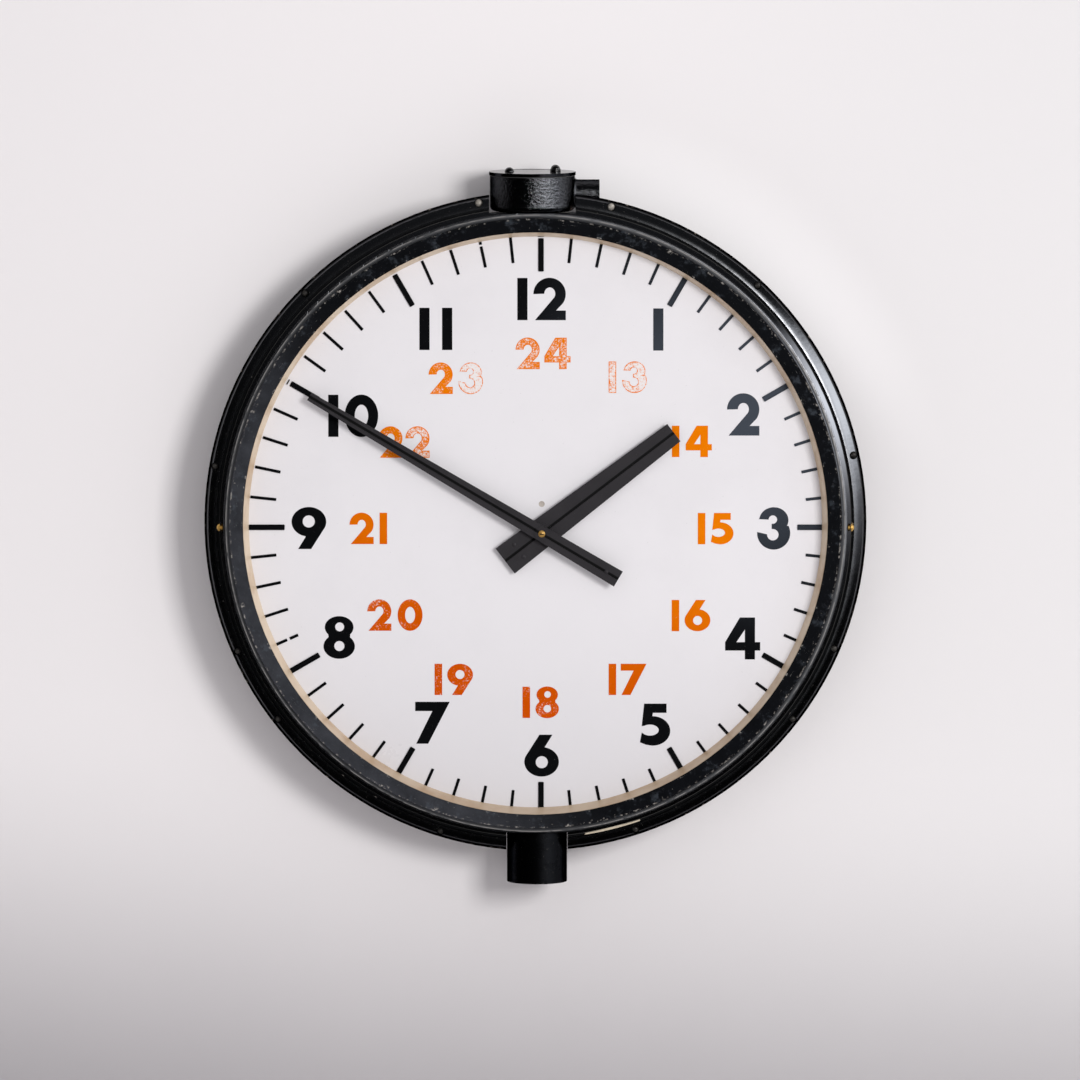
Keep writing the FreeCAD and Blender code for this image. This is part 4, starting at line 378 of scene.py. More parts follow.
def drum_paint():
    """Satin black on the drum: dusty, scuffed on its back, rusty round the fixing holes."""
    material, pen = start("drum_black")
    place = place_of(pen)
    x, y, z = axes_of(pen, place)
    broad = noise(pen, place, 9.0, 5.0, 0.6)
    fine = noise(pen, place, 240.0, 4.0, 0.6)
    colour = mix(pen, broad, tone(34, 34, 36), tone(56, 55, 56))
    dust = rise(pen, broad * 0.6 + fine * 0.4, 0.48, 0.66)
    colour = mix(pen, dust * 0.5, colour, tone(104, 100, 96))
    streak = noise(pen, stretched(pen, place, (1.0, 1.0, 0.14)), 70.0, 5.0, 0.65)
    scuff = rise(pen, streak, 0.62, 0.7) * rise(pen, y, -0.004, -0.002)
    colour = mix(pen, scuff * 0.45, colour, tone(140, 136, 132))
    corner = pen.node("ShaderNodeCombineXYZ", None, {0: abs(x), 2: abs(z)})
    gap = vector(pen, "DISTANCE", corner, FIXING_HOLE, "Value")
    rust = rise(pen, gap + fine * 0.012, 0.02, 0.01)
    colour = mix(pen, rust, colour, mix(pen, fine, tone(92, 60, 38), tone(134, 88, 54)))
    dress(pen, {
        "Base Color": colour,
        "Roughness": span(pen, broad, 0.36, 0.56) + rust * 0.25,
        "Normal": bump(pen, fine, 0.12, 0.001, even_normal(pen, place)),
    })
    return material


def soiled_paint(name, clean, stained, dark, rough, patch, bottom_darkening=0.0):
    """A pale coat with broad stains and fine specks, darker towards the bottom by a given share."""
    material, pen = start(name)
    place = place_of(pen)
    z = axes_of(pen, place)[2]
    broad = noise(pen, place, patch, 5.0, 0.6)
    colour = mix(pen, rise(pen, broad, 0.4, 0.72), clean, stained)
    speck = rise(pen, noise(pen, place, 520.0, 2.0, 0.5), 0.71, 0.77)
    # Darker towards the bottom, by the given share.
    low = rise(pen, z + broad * 0.1, 0.0, -0.3) * bottom_darkening
    colour = mix(pen, larger(pen, speck * 0.5, low), colour, dark)
    dress(pen, {
        "Base Color": colour,
        "Roughness": span(pen, broad, rough - 0.07, rough + 0.09),
        "Normal": bump(pen, noise(pen, place, 150.0), 0.05, 0.0006),
    })
    return material


def metal(name, bright, dull, rough, grain, shine=1.0, spots=None, dome=None):
    """Worked metal: tool marks, a dull bloom, spots of dirt, and painted shade in the slot of a domed head.
    """
    material, pen = start(name)
    place = place_of(pen)
    bloom = noise(pen, place, 130.0, 5.0, 0.6)
    marks = noise(pen, stretched(pen, place, (1.0, 9.0, 1.0)), grain, 3.0)
    colour = mix(pen, rise(pen, bloom, 0.35, 0.7), bright, dull)
    gleam = shine
    if spots:
        spot = rise(pen, noise(pen, place, 420.0, 4.0, 0.6), 0.6, 0.68)
        colour = mix(pen, spot, colour, spots)
        gleam = shine - spot * (0.7 * shine)
    if dome:
        centre, radius = dome
        depth = vector(pen, "DISTANCE", place, centre, "Value")
        # Painted shade in the slot of a domed head.
        slot = rise(pen, depth, radius - 0.08 * MM, radius - 0.2 * MM)
        colour = mix(pen, slot, colour, tone(8, 6, 4))
        gleam = gleam * (1.0 - slot)
    dress(pen, {
        "Base Color": colour,
        "Metallic": gleam,
        "Roughness": span(pen, marks, rough - 0.1, rough + 0.14),
        "Normal": bump(pen, marks, 0.12, 0.0004),
    })
    return material


def grained(name, light, dark, scale, rough, depth):
    """Rubber, fibre, cord or iron: a fine grain in both colour and height."""
    material, pen = start(name)
    place = place_of(pen)
    grain = noise(pen, place, scale, 5.0, 0.65)
    colour = mix(pen, grain, light, dark)
    dress(pen, {
        "Base Color": colour,
        "Roughness": span(pen, grain, rough - 0.08, rough + 0.1),
        "Normal": bump(pen, grain, 0.3, depth),
    })
    return material


def wound_wire():
    """Enamelled wire in close turns along the coil."""
    material, pen = start("enamelled_wire")
    place = place_of(pen)
    turns = pen.node("ShaderNodeTexWave", {"bands_direction": "Z"}, {
        "Vector": place, "Scale": 260.0, "Distortion": 0.8, "Detail": 1.0}, "Fac")
    colour = mix(pen, turns, tone(70, 32, 18), tone(168, 92, 52))
    dress(pen, {
        "Base Color": colour,
        "Metallic": 0.5,
        "Roughness": span(pen, noise(pen, place, 200.0), 0.3, 0.5),
        "Normal": bump(pen, turns, 0.5, 0.0003),
    })
    return material


def seal_cord():
    """Cord that is dark all round, and pale where it shows at the lower right."""
    material, pen = start("soiled_cord")
    place = place_of(pen)
    x, _, z = axes_of(pen, place)
    fibre = noise(pen, stretched(pen, place, (1.0, 3.0, 1.0)), 480.0, 4.0)
    clean = near(pen, x, 76.0 * MM, 30.0 * MM) * rise(pen, z, -0.28, -0.29)
    black = mix(pen, fibre, tone(18, 17, 17), tone(40, 38, 36))
    pale = mix(pen, fibre, tone(150, 138, 118), tone(226, 216, 196))
    dress(pen, {
        "Base Color": mix(pen, clean, black, pale),
        "Roughness": span(pen, fibre, 0.6, 0.9),
        "Normal": bump(pen, fibre, 0.4, 0.0005),
    })
    return material


def pointing(node):
    """The direction on the dial in which a hand points, from the middle of its far end."""
    points = [vertex.co - PIVOT for vertex in node.data.vertices]
    reach = max(math.hypot(p.x, p.z) for p in points)
    ends = [p for p in points if math.hypot(p.x, p.z) > reach - 4 * MM]
    return math.atan2(sum(p.z for p in ends), sum(p.x for p in ends))


def hand_paint(name, turn=None):
    """Soot-black paint, with painted shade darkening the groove along a hand that points in a direction."""
    material, pen = start(name)
    place = place_of(pen)
    broad = noise(pen, place, 40.0, 4.0)
    fine = noise(pen, place, 700.0, 3.0)
    speck = rise(pen, fine, 0.7, 0.78)
    colour = mix(pen, broad, tone(40, 38, 41), tone(50, 48, 51))
    if turn is not None:
        x, _, z = axes_of(pen, place)
        side = (x - PIVOT.x) * math.sin(turn) - (z - PIVOT.z) * math.cos(turn)
        # Painted shade in the groove along the hand.
        groove = rise(pen, abs(side), 1.7 * MM, 1.0 * MM)
        colour = mix(pen, groove, colour, tone(2, 2, 3))
    dress(pen, {
        "Base Color": mix(pen, speck * 0.4, colour, tone(120, 116, 110)),
        "Roughness": span(pen, broad, 0.42, 0.6),
        "IOR": 1.26,
        "Normal": bump(pen, fine, 0.12, 0.0003),
    })
    return material


def black_ink():
    """Printed black with pinholes, and a painted reflection that makes it paler where the window shines on
    it.
    """
    material, pen = start("black_ink")
    place = place_of(pen)
    hole = rise(pen, noise(pen, place, 900.0, 3.0, 0.6), 0.7, 0.76)
    colour = mix(pen, noise(pen, place, 30.0), tone(5, 6, 8), tone(12, 13, 16))
    # A painted reflection: the ink is paler near this place.
    gap = vector(pen, "DISTANCE", place, PAINTED_SHEEN_PLACE, "Value")
    colour = mix(pen, rise(pen, gap, 0.25, 0.03), colour, tone(64, 70, 79))
    dress(pen, {
        "Base Color": mix(pen, hole * 0.5, colour, tone(170, 168, 168)),
        "Roughness": span(pen, noise(pen, place, 55.0), 0.3, 0.42),
        "IOR": 1.16,
    })
    return material


def orange_ink():
    """Printed orange, deeper low down, that flakes off to white as far as each figure's wear says."""
    material, pen = start("orange_ink")
    place = place_of(pen)
    wear = pen.node("ShaderNodeAttribute", {"attribute_name": "wear"}, None, "Fac")
    edge = pen.node("ShaderNodeAttribute", {"attribute_name": "rim"}, None, "Fac")
    flakes = noise(pen, place, 520.0, 5.0, 0.7)
    broad = noise(pen, place, 80.0, 4.0)
    lost = rise(pen, flakes * 0.7 + broad * 0.3 + wear * 0.36 - edge * wear * 0.16, 0.62, 0.78)
    x, _, z = axes_of(pen, place)
    deep = mix(pen, broad, tone(194, 70, 2), tone(206, 82, 3))
    bright = mix(pen, broad, tone(226, 113, 2), tone(236, 127, 4))
    full = mix(pen, rise(pen, z + x * 0.33, -0.2, 0.07), deep, bright)
    dress(pen, {
        "Base Color": mix(pen, lost, full, tone(232, 228, 228)),
        "Roughness": span(pen, flakes, 0.32, 0.48),
        "IOR": 1.25,
        "Specular Tint": (1.0, 0.5, 0.0, 1.0),
    })
    return material


def upright_middle(name):
    """The axis of an upright round node: its direction and a point on it."""
    low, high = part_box(name)
    return (0.0, 0.0, 1.0), tuple((a + b) / 2 for a, b in zip(low, high))


def screw_dome(name, head, height):
    """The ball that a forward-facing domed head is cut from: its centre and radius."""
    low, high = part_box(name)
    radius = (head * head + height * height) / (2 * height) * MM
    return ((low[0] + high[0]) / 2, low[1] + radius, (low[2] + high[2]) / 2), radius


def paint_cad_nodes():
    """Gives every CAD node its material: its own where one is named here, or else that of its slot."""
    painted = hand_paint("hand_black")
    dirt = tone(92, 70, 40)
    special = {
        "hour_hand": hand_paint("hour_hand_black", pointing(frame["nodes"]["hour_hand"])),
        "minute_hand": hand_paint("minute_hand_black", pointing(frame["nodes"]["minute_hand"])),
        "hand_screw": metal("hand_screw_brass", tone(222, 178, 98), tone(186, 142, 74), 0.34, 700.0,
                            shine=0.5, dome=screw_dome("hand_screw", 3.5, 2.2)),
        "hour_boss": painted,
        "minute_boss": painted,
        "flange_bolts": metal("bolt_steel", tone(190, 184, 176), tone(150, 144, 136), 0.5, 600.0,
                              shine=0.35),
        "flange_screws": metal("soiled_steel", tone(74, 71, 68), tone(34, 33, 33), 0.4, 600.0,
                               shine=0.4),
        "back_pan": drum_paint(),
        "flange_ring": gloss_paint("flange_black", 0.1, 60.0, 0.9, gleam=106, crown=0.9 * MM,
                                   chips=[(BAND_OUTER_EDGE, 1.3 * MM, 0.6),
                                          (BAND_INNER_EDGE, 0.9 * MM, 0.66)],
                                   round_about=FORWARD_AXIS),
        "junction_box": gloss_paint("box_black", 0.5, 320.0, 1.0, gleam=70,
                                    rust=(RUSTY_PLACE, 11.0 * MM)),
        "box_lid": gloss_paint("lid_black", 0.03, 60.0, 0.8, gleam=48, shine=2.6, bright_top=True,
                               round_about=upright_middle("box_lid")),
        "socket_tube": gloss_paint("tube_black", 0.08, 80.0, 0.9, gleam=34, satin=0.16,
                                   round_about=upright_middle("socket_tube")),
    }
    finishes = {
        "bezel_paint": bezel_paint(),
        "surround_paint": soiled_paint("surround_cream", tone(218, 199, 174), tone(192, 164, 133),
                                       tone(140, 112, 88), 0.4, 22.0, 0.4),
        "dial_white": soiled_paint("dial_white", tone(232, 230, 233), tone(228, 226, 229),
                                   tone(198, 196, 199), 0.3, 9.0, 0.5),
        "plug_grey": soiled_paint("plug_grey", tone(190, 181, 172), tone(166, 158, 150),
                                  tone(110, 102, 96), 0.45, 300.0),
        "hand_paint": painted,
        "hand_brass": metal("hand_brass", tone(214, 170, 92), tone(166, 124, 62), 0.34, 700.0,
                            shine=0.6, spots=dirt),
        "weight_steel": metal("weight_steel", tone(150, 150, 150), tone(104, 102, 100), 0.42, 500.0),
        "screw_steel": metal("screw_steel", tone(150, 148, 144), tone(112, 108, 104), 0.45, 600.0,
                             spots=tone(70, 62, 56)),
        "lid_screw_paint": gloss_paint("lid_screw_black", 0.2, 160.0, 0.6),
        "screw_brass": metal("screw_brass", tone(220, 176, 92), tone(170, 128, 62), 0.36, 700.0,
                             shine=0.6, spots=dirt),
        "seal_cord": seal_cord(),
        "gasket_rubber": grained("gasket_rubber", tone(30, 30, 30), tone(52, 51, 50), 380.0, 0.75,
                                 0.0004),
        "porcelain": soiled_paint("porcelain_glaze", tone(238, 236, 230), tone(226, 221, 210),
                                  tone(150, 138, 120), 0.18, 45.0),
        "movement_brass": metal("movement_brass", tone(214, 182, 112), tone(176, 142, 84), 0.3, 420.0),
        "movement_steel": metal("movement_steel", tone(186, 188, 190), tone(142, 143, 146), 0.3, 460.0),
        "magnet_iron": metal("magnet_iron", tone(112, 112, 114), tone(78, 76, 76), 0.5, 320.0,
                             spots=tone(96, 66, 48)),
        "bobbin_fibre": grained("bobbin_fibre", tone(120, 52, 34), tone(84, 34, 24), 420.0, 0.55,
                                0.0003),
        "winding_wire": wound_wire(),
    }
    for row in frame["record"]["subparts"]:
        node = frame["nodes"][row["node"]]
        node.data.materials.clear()
        node.data.materials.append(special.get(row["node"]) or finishes[row["material_slot"]])


def sweep(centre, radii, first, last, steps=28):
    """Points of an arc of an ellipse, from one angle in degrees to another."""
    turns = [math.radians(first + (last - first) * i / steps) for i in range(steps + 1)]
    return [(centre[0] + radii[0] * math.cos(t), centre[1] + radii[1] * math.sin(t)) for t in turns]


def ring(centre, radii):
    """Points of a whole ellipse."""
    return sweep(centre, radii, 0, 360, 48)[:-1]


def six():
    """The outlines of a six, which are those of a nine when turned round."""
    outer = [(0.36, 1.0), (0.668, 1.0)] + sweep((0.412, 0.352), (0.41, 0.352), 80, -202, 56)
    return [outer, ring((0.416, 0.344), (0.144, 0.144))]


def figure_loops():
    """Each figure's outlines, one cap height tall, drawn with straight lines and arcs."""
    two = sweep((0.38, 0.618), (0.382, 0.386), 180, -35, 44) + [
        (0.532, 0.228), (0.764, 0.228), (0.764, 0.0), (0.036, 0.0)
    ] + sweep((0.385, 0.625), (0.13, 0.15), -35, 180)
    three = [(0.036, 0.72)] + sweep((0.4, 0.695), (0.345, 0.309), 172, -24, 40) + [(0.7, 0.564)] + sweep(
        (0.396, 0.387), (0.392, 0.391), 26, -184, 44) + [(0.24, 0.36)] + sweep(
        (0.376, 0.35), (0.136, 0.136), 180, 450) + [(0.348, 0.486), (0.348, 0.61)] + sweep(
        (0.376, 0.71), (0.1, 0.1), -90, 180)
    four = [(0.348, 1.0), (0.708, 1.0), (0.708, 0.412), (0.832, 0.412), (0.832, 0.212), (0.708, 0.212),
            (0.708, 0.0), (0.468, 0.0), (0.468, 0.212), (0.0, 0.212), (0.0, 0.412)]
    five = [(0.1, 1.0), (0.632, 1.0), (0.632, 0.78), (0.308, 0.78), (0.296, 0.7)] + sweep(
        (0.3, 0.348), (0.42, 0.352), 88, -92, 40) + [(0.14, 0.02), (0.0, 0.076), (0.044, 0.31)] + sweep(
        (0.24, 0.368), (0.208, 0.132), -128, 128) + [(0.044, 0.462)]
    seven = [(0.0, 1.0), (0.82, 1.0), (0.308, 0.0), (0.024, 0.0), (0.408, 0.78), (0.0, 0.78)]
    eight = sweep((0.372, 0.744), (0.34, 0.264), -40, 220, 48) + [(0.12, 0.52)] + sweep(
        (0.372, 0.288), (0.372, 0.296), 134, 406, 48) + [(0.632, 0.52)]
    nine = [[(0.82 - x, 1.0 - y) for x, y in loop] for loop in six()]
    return {
        "0": [ring((0.396, 0.5), (0.396, 0.504)), ring((0.396, 0.5), (0.16, 0.264))],
        "1": [[(0.0, 0.0), (0.24, 0.0), (0.24, 1.0), (0.0, 1.0)]],
        "2": [two],
        "3": [three],
        "4": [four, [(0.468, 0.712), (0.468, 0.412), (0.268, 0.412)]],
        "5": [five],
        "6": six(),
        "7": [seven],
        "8": [eight, ring((0.384, 0.752), (0.106, 0.106)), ring((0.376, 0.296), (0.12, 0.12))],
        "9": nine,
    }


FIGURES = figure_loops()

# Each number's left and right ends and its middle line, each figure's share of wear from 0 to 1, and the
# gaps in four strokes by minute.
BLACK_NUMBERS = {
    "12": (517.4, 565.6, 299.7), "1": (652.8, 663.2, 330.0), "2": (726.5, 759.2, 414.7),
    "3": (757.0, 789.8, 528.4), "4": (725.0, 760.4, 638.5), "5": (640.0, 670.3, 724.8),
    "6": (524.5, 558.5, 756.0), "7": (415.0, 449.5, 723.0), "8": (323.0, 355.0, 637.5),
    "9": (292.0, 326.0, 528.0), "10": (328.6, 378.3, 416.0), "11": (419.7, 452.4, 329.4),
}
ORANGE_NUMBERS = {
    "13": (608.5, 646.5, 377.5), "14": (671.7, 711.5, 441.5), "15": (697.7, 733.3, 528.6),
    "16": (671.7, 710.3, 615.6), "17": (608.7, 646.5, 679.5), "18": (522.5, 558.8, 702.5),
    "19": (434.5, 472.8, 679.5), "20": (367.3, 422.4, 615.1), "21": (349.7, 387.2, 528.4),
    "22": (378.7, 429.6, 442.2), "23": (428.9, 483.0, 378.6), "24": (515.7, 570.4, 353.8),
}
WEAR = {
    "13": (0.62, 0.66), "18": (0.2, 0.22), "19": (0.22, 0.22), "20": (0.24, 0.2), "22": (0.29, 0.5),
    "23": (0.33, 0.76), "24": (0.48, 0.44),
}
CHIPPED_TICKS = {0: (289.4, 290.8), 58: (287.4, 289.2), 50: (288.4, 290.8), 41: (275.0, 278.0)}


def view_to_dial(across, down):
    """A place in the upright view as x and z on the dial."""
    return (across - VIEW_CENTRE[0]) * MM, (VIEW_CENTRE[1] - down) / VIEW_SQUASH * MM


def only(piece):
    """Selects one piece alone and makes it active."""
    bpy.ops.object.select_all(action="DESELECT")
    piece.select_set(True)
    bpy.context.view_layer.objects.active = piece


def settle(piece, material, body="case"):
    """Cleans a finished piece's mesh, paints it, and puts it on its body."""
    only(piece)
    bpy.ops.object.transform_apply(location=True, rotation=True, scale=True)
    bpy.ops.object.mode_set(mode="EDIT")
    bpy.ops.mesh.select_all(action="SELECT")
    bpy.ops.mesh.remove_doubles(threshold=1e-6)
    bpy.ops.mesh.normals_make_consistent(inside=False)
    bpy.ops.object.mode_set(mode="OBJECT")
    piece.data.materials.clear()
    piece.data.materials.append(material)
    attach(piece, body)


def gather(pieces, name):
    """Joins pieces into one with a name."""
    only(pieces[0])
    for piece in pieces:
        piece.select_set(True)
    bpy.ops.object.join()
    pieces[0].name = name
    pieces[0].data.name = name
    return pieces[0]


def draw_figure(figure, height, left, middle, wear, rim=0.0, inset=0.0):
    """One figure as a filled outline, made a mesh, then stood on the dial; an inset one lies on top."""
    curve = bpy.data.curves.new("figure_" + figure, "CURVE")
    curve.dimensions = "2D"
    curve.fill_mode = "BOTH"
    curve.extrude = INK_THICKNESS / 2 * MM
    curve.offset = inset
    for loop in FIGURES[figure]:
        spline = curve.splines.new("POLY")
        spline.points.add(len(loop) - 1)
        corners = [(x * height, (y - 0.5) * height, 0.0, 1.0) for x, y in loop]
        spline.points.foreach_set("co", [share for corner in corners for share in corner])
        spline.use_cyclic_u = True
    piece = bpy.data.objects.new("figure_" + figure, curve)
    bpy.context.collection.objects.link(piece)
    only(piece)
    bpy.ops.object.convert(target="MESH")
    piece = bpy.context.object
    count = len(piece.data.vertices)
    for name, value in (("wear", wear), ("rim", rim)):
        layer = piece.data.attributes.new(name, "FLOAT", "POINT")
        layer.data.foreach_set("value", [value] * count)
    x, z = view_to_dial(left, middle)
    lift = RIM_STEP * MM if inset else 0.0
    piece.rotation_euler = (math.pi / 2, 0.0, 0.0)
    piece.location = (x, PRINT_FACE - lift, z)
    bpy.ops.object.transform_apply(location=True, rotation=True, scale=True)
    return piece


def figure_width(figure):
    """A figure's width as a share of its height."""
    return max(x for x, _ in FIGURES[figure][0])


def print_numbers(name, numbers, cap, material):
    """All numbers of one ink as one piece, with a rim round each badly worn figure."""
    pieces = []
    size = cap * MM / VIEW_SQUASH
    for number, (first, last, middle) in numbers.items():
        worn = WEAR.get(number, (0.0, 0.0))
        if len(number) == 1:
            room = last - first - figure_width(number) * cap
            lefts = [first + room / 2]
        else:
            lefts = [first, last - figure_width(number[1]) * cap]
        for figure, left, wear in zip(number, lefts, worn):
            if wear > BADLY_WORN:
                pieces.append(draw_figure(figure, size, left, middle, wear, rim=1.0))
                pieces.append(draw_figure(figure, size, left, middle, wear, inset=-RIM_WIDTH * MM))
            else:
                pieces.append(draw_figure(figure, size, left, middle, wear))
    settle(gather(pieces, name), material)


def tick(inner, outer, width):
    """One printed stroke that points up: a flat block with its edges rounded."""
    bpy.ops.mesh.primitive_cube_add(size=1.0)
    piece = bpy.context.object
    piece.dimensions = (width * MM, INK_THICKNESS * MM, (outer - inner) * MM)
    bpy.ops.object.transform_apply(location=False, rotation=False, scale=True)
    bpy.ops.object.mode_set(mode="EDIT")
    bpy.ops.mesh.select_all(action="SELECT")
    bpy.ops.transform.translate(value=(0.0, 0.0, (outer + inner) / 2 * MM))
    bpy.ops.mesh.bevel(offset=width * 0.16 * MM, segments=3, affect="EDGES", offset_type="OFFSET")
    bpy.ops.object.mode_set(mode="OBJECT")
    return piece


def print_ticks(name, minutes, inner, width, material):
    """The strokes of some minutes as one piece, each in two parts where a chip has taken its middle."""
    x, z = view_to_dial(*PRINT_CENTRE)
    model = tick(inner, TICK_END, width)
    pieces = []
    for minute in minutes:
        turn = math.radians(minute * 6)
        gap = CHIPPED_TICKS.get(minute)
        spans = [(inner, gap[0]), (gap[1], TICK_END)] if gap else [(inner, TICK_END)]
        for low, high in spans:
            piece = model.copy()
            piece.data = model.data.copy()
            bpy.context.collection.objects.link(piece)
            piece.scale = (1.0, 1.0, (high - low) / (TICK_END - inner))
            lift = (low - inner * piece.scale[2]) * MM
            piece.rotation_euler = (0.0, turn, 0.0)
            piece.location = (x + lift * math.sin(turn), PRINT_FACE, z + lift * math.cos(turn))
            only(piece)
            bpy.ops.object.transform_apply(location=True, rotation=True, scale=True)
            pieces.append(piece)
    bpy.data.objects.remove(model)
    settle(gather(pieces, name), material)


def print_dial():
    """The strokes and numbers on the dial, in two inks."""
    black = black_ink()
    orange = orange_ink()
    between_hours = [minute for minute in range(60) if minute % 5]
    print_ticks("hour_ticks", range(0, 60, 5), HOUR_TICK_START, HOUR_TICK_WIDTH, black)
    print_ticks("minute_ticks", between_hours, MINUTE_TICK_START, MINUTE_TICK_WIDTH, black)
    print_numbers("black_numerals", BLACK_NUMBERS, BLACK_CAP, black)
    print_numbers("orange_numerals", ORANGE_NUMBERS, ORANGE_CAP, orange)


def squeezed_seal():
    """The pale end of the cord, squeezed out of its channel at the lower right."""
    bpy.ops.mesh.primitive_cube_add(size=1.0)
    piece = bpy.context.object
    piece.name = "squeezed_seal"
    bpy.ops.object.mode_set(mode="EDIT")
    bpy.ops.mesh.select_all(action="SELECT")
    bpy.ops.transform.resize(value=[size * MM for size in SEAL_SIZE])
    bpy.ops.transform.translate(value=(SEAL_MIDDLE[0] * MM, SEAL_MIDDLE[1] * MM, 0.0))
    bpy.ops.transform.rotate(value=SEAL_START, orient_axis="Y", center_override=(0.0, 0.0, 0.0))
    bpy.ops.mesh.select_all(action="DESELECT")
    bpy.ops.object.mode_set(mode="OBJECT")
    ahead = Vector((-math.sin(SEAL_START), 0.0, math.cos(SEAL_START)))
    for face in piece.data.polygons:
        face.select = face.normal.dot(ahead) > 0.9
    bpy.ops.object.mode_set(mode="EDIT")
    bpy.ops.mesh.spin(steps=28, angle=SEAL_RUN, center=(0.0, 0.0, 0.0), axis=(0.0, 1.0, 0.0))
    bpy.ops.mesh.select_all(action="SELECT")
    bpy.ops.mesh.remove_doubles(threshold=1e-6)
    bpy.ops.mesh.normals_make_consistent(inside=False)
    bpy.ops.mesh.bevel(offset=0.6 * MM, segments=2, affect="EDGES")
    bpy.ops.object.mode_set(mode="OBJECT")
    cord = grained("pale_cord", tone(228, 218, 198), tone(170, 156, 132), 520.0, 0.8, 0.0005)
    settle(piece, cord)


def screw_paint():
    """Thick paint that has run down from the head of the right lid screw to the lid."""
    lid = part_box("box_lid")
    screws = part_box("lid_screws")
    height = RAISED_SCREW_GAP * MM
    middle = (
        screws[1][0] - RAISED_SCREW_INSET * MM,
        (lid[0][1] + lid[1][1]) / 2,
        lid[1][2] + height / 2,
    )
    bpy.ops.object.select_all(action="DESELECT")
    bpy.ops.mesh.primitive_cylinder_add(
        vertices=40, radius=PAINT_RUN_RADIUS * MM, depth=height, location=middle)
    piece = bpy.context.object
    piece.name = "screw_paint"
    bpy.ops.object.transform_apply(location=True, rotation=True, scale=True)
    for face in piece.data.polygons:
        face.select = face.normal.z < -0.9
    bpy.ops.object.mode_set(mode="EDIT")
    bpy.ops.transform.resize(value=(1.25, 1.25, 1.0))
    bpy.ops.mesh.select_all(action="SELECT")
    bpy.ops.mesh.bevel(offset=0.35 * MM, segments=2, affect="EDGES")
    bpy.ops.object.mode_set(mode="OBJECT")
    settle(piece, gloss_paint("run_black", 0.15, 160.0, 0.6))


def aim(piece, target):
    """Turns a camera or a lamp towards a place."""
    piece.rotation_euler = (Vector(target) - piece.location).to_track_quat("-Z", "Y").to_euler()


def set_camera():
    """The photo's view: from far off in front and a little above."""
    lens = bpy.data.cameras.new("camera")
    lens.sensor_width = SENSOR_WIDTH
    lens.lens = SENSOR_WIDTH * CAMERA_DISTANCE / VIEW_WIDTH
    lens.clip_end = 60.0
    camera = bpy.data.objects.new("camera", lens)
    back = Vector((0.0, -math.cos(CAMERA_TILT), math.sin(CAMERA_TILT)))
    camera.location = CAMERA_TARGET + back * CAMERA_DISTANCE
    aim(camera, CAMERA_TARGET)
    bpy.context.collection.objects.link(camera)
    bpy.context.scene.camera = camera


def lamp(name, place, target, width, height, power, shade):
    """A flat lamp that faces its target."""
    light = bpy.data.lights.new(name, "AREA")
    light.shape = "RECTANGLE"
    light.size = width
    light.size_y = height
    light.energy = power
    light.color = shade
    piece = bpy.data.objects.new(name, light)
    piece.location = place
    aim(piece, target)
    bpy.context.collection.objects.link(piece)


def set_light():
    """One large lamp, and a pale room that gloss mirrors as a dark one with a window at the upper right."""
    lamp("key_lamp", (2.4, -4.3, 1.1), (0.0, 0.0, 0.0), 1.5, 1.5, 138.0, (1.0, 0.99, 0.98))
    world = bpy.data.worlds.new("pale_room")
    bpy.context.scene.world = world
    world.use_nodes = True
    world.node_tree.nodes.clear()
    pen = Wire(world.node_tree)
    x, _, z = axes_of(pen, pen.node("ShaderNodeTexCoord", output="Generated"))
    high = rise(pen, x * 0.5 + z, -0.7, 1.0)
    glossy = pen.node("ShaderNodeLightPath", output="Is Glossy Ray")
    soft = mix(pen, high, tone(184, 182, 184), tone(206, 205, 207))
    sheen = mix(pen, high, tone(10, 10, 11), tone(58, 59, 62))
    window = rise(pen, x * 0.92 + z * 0.39, 0.45, 0.8)
    beside = x * 0.39 - z * 0.92
    dim = window * rise(pen, beside, -0.25, 0.0) * rise(pen, beside, 0.62, 0.36)
    sheen = mix(pen, dim, sheen, (0.5, 0.5, 0.53, 1.0))
    bright = window * near(pen, beside, 0.1, 0.33)
    sheen = mix(pen, bright, sheen, (4.5, 4.6, 4.8, 1.0))
    light = pen.node("ShaderNodeBackground", None, {"Color": mix(pen, glossy, soft, sheen)})
    pen.node("ShaderNodeOutputWorld", None, {"Surface": light})


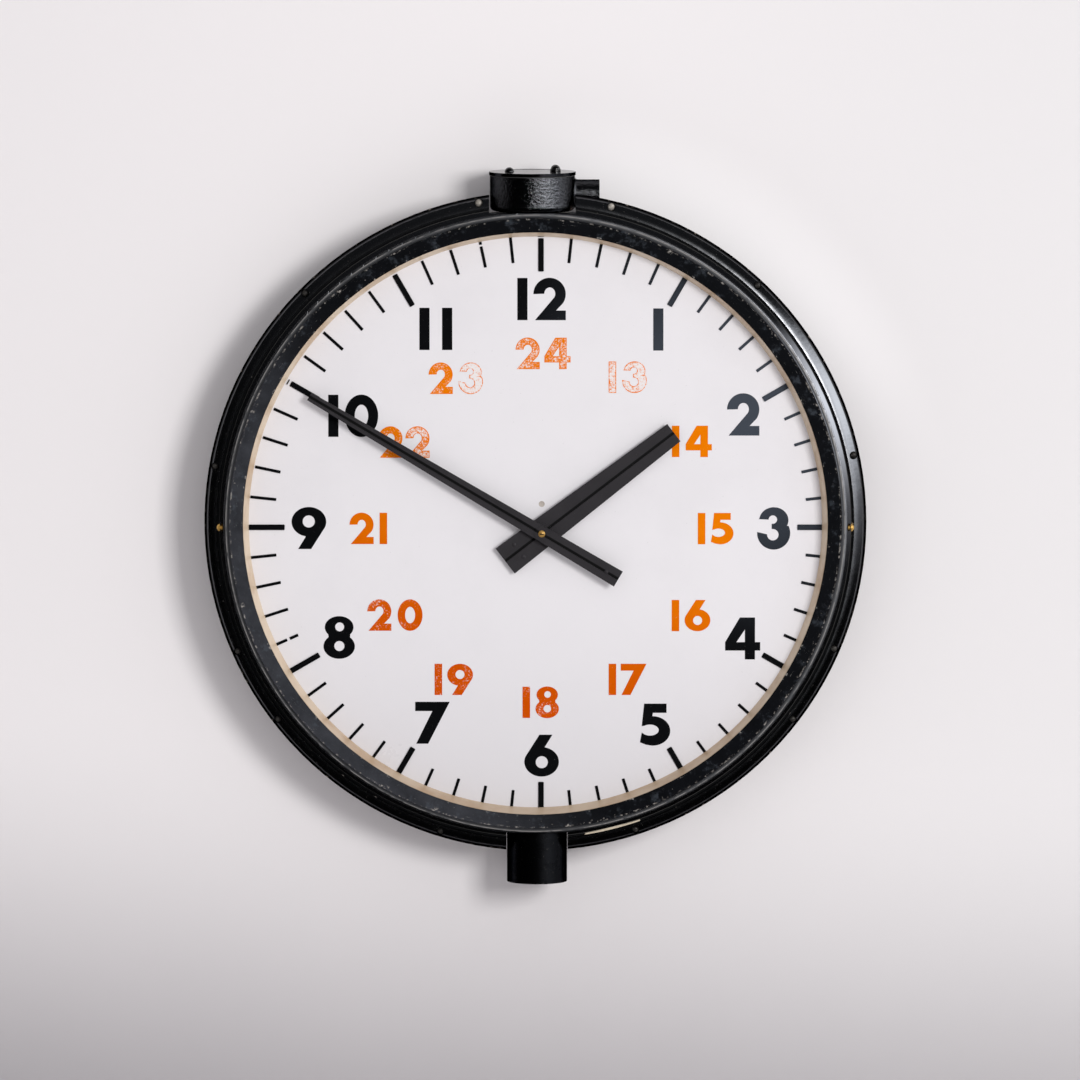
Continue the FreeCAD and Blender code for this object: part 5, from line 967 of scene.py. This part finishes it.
def wall_paint():
    """Pale paint with painted light: painted shade low down and towards the right, and a painted pool of
    light by the top of the clock; clear from behind and to rays that start right behind the clock.
    """
    material, pen = start("pale_wall")
    place = place_of(pen)
    x, _, z = axes_of(pen, place)
    # Painted shade: darker low down.
    low = rise(pen, z + x * 0.08 + noise(pen, place, 2.0) * 0.04, -0.2, -0.72)
    # Painted shade: darker towards the right.
    colour = mix(pen, rise(pen, x, -0.1, 0.6), tone(239, 236, 237), tone(228, 226, 227))
    # A painted pool of light by the top of the clock, right of the box.
    painted_light_pool = rise(pen, x * 0.5 + z, 0.22, 0.38) * rise(pen, x, -0.05, 0.03)
    painted_light_pool = painted_light_pool * rise(pen, radius_of(pen, place), 0.43, 0.335)
    colour = mix(pen, painted_light_pool, colour, tone(250, 248, 249))
    colour = mix(pen, low, colour, tone(162, 159, 162))
    paint = pen.node("ShaderNodeBsdfDiffuse", None, {"Color": colour})
    clear = pen.node("ShaderNodeBsdfTransparent")
    back = pen.node("ShaderNodeNewGeometry", output="Backfacing")
    touching = rise(pen, pen.node("ShaderNodeLightPath", output="Ray Length"), 0.014, 0.012)
    surface = pen.node("ShaderNodeMixShader", None, {0: larger(pen, back, touching), 1: paint, 2: clear})
    pen.node("ShaderNodeOutputMaterial", None, {"Surface": surface})
    return material


def floor_paint():
    """Pale paint that gloss mirrors as a dark floor."""
    material, pen = start("pale_floor")
    grain = noise(pen, place_of(pen), 4.0)
    colour = mix(pen, grain, tone(226, 224, 225), tone(220, 218, 219))
    glossy = pen.node("ShaderNodeLightPath", output="Is Glossy Ray")
    colour = mix(pen, glossy, colour, tone(24, 24, 25))
    surface = pen.node("ShaderNodeBsdfDiffuse", None, {"Color": colour})
    pen.node("ShaderNodeOutputMaterial", None, {"Surface": surface})
    return material


def plane(name, size, place, turn, stretch, material):
    """A flat piece of the stage."""
    bpy.ops.object.select_all(action="DESELECT")
    bpy.ops.mesh.primitive_plane_add(size=size, location=place, rotation=turn)
    piece = bpy.context.object
    piece.name = name
    piece.scale = stretch
    bpy.ops.object.transform_apply(location=True, rotation=True, scale=True)
    piece.data.materials.append(material)
    return piece


def set_stage():
    """A wall close behind the clock and a floor below the view."""
    upright = (math.pi / 2, 0.0, 0.0)
    wall = plane("wall", WALL_SIZE, (0.0, WALL_GAP, 0.0), upright, (1.0, 1.0, 1.0), wall_paint())
    floor_middle = (0.0, -FLOOR_DEPTH / 2, FLOOR_LEVEL)
    floor = plane("floor", FLOOR_DEPTH, floor_middle, (0.0, 0.0, 0.0), (2.4, 1.0, 1.0), floor_paint())


bpy.ops.object.select_all(action="DESELECT")
set_camera()
paint_cad_nodes()
print_dial()
squeezed_seal()
screw_paint()
set_stage()
set_light()
bpy.context.scene.view_settings.view_transform = "Standard"
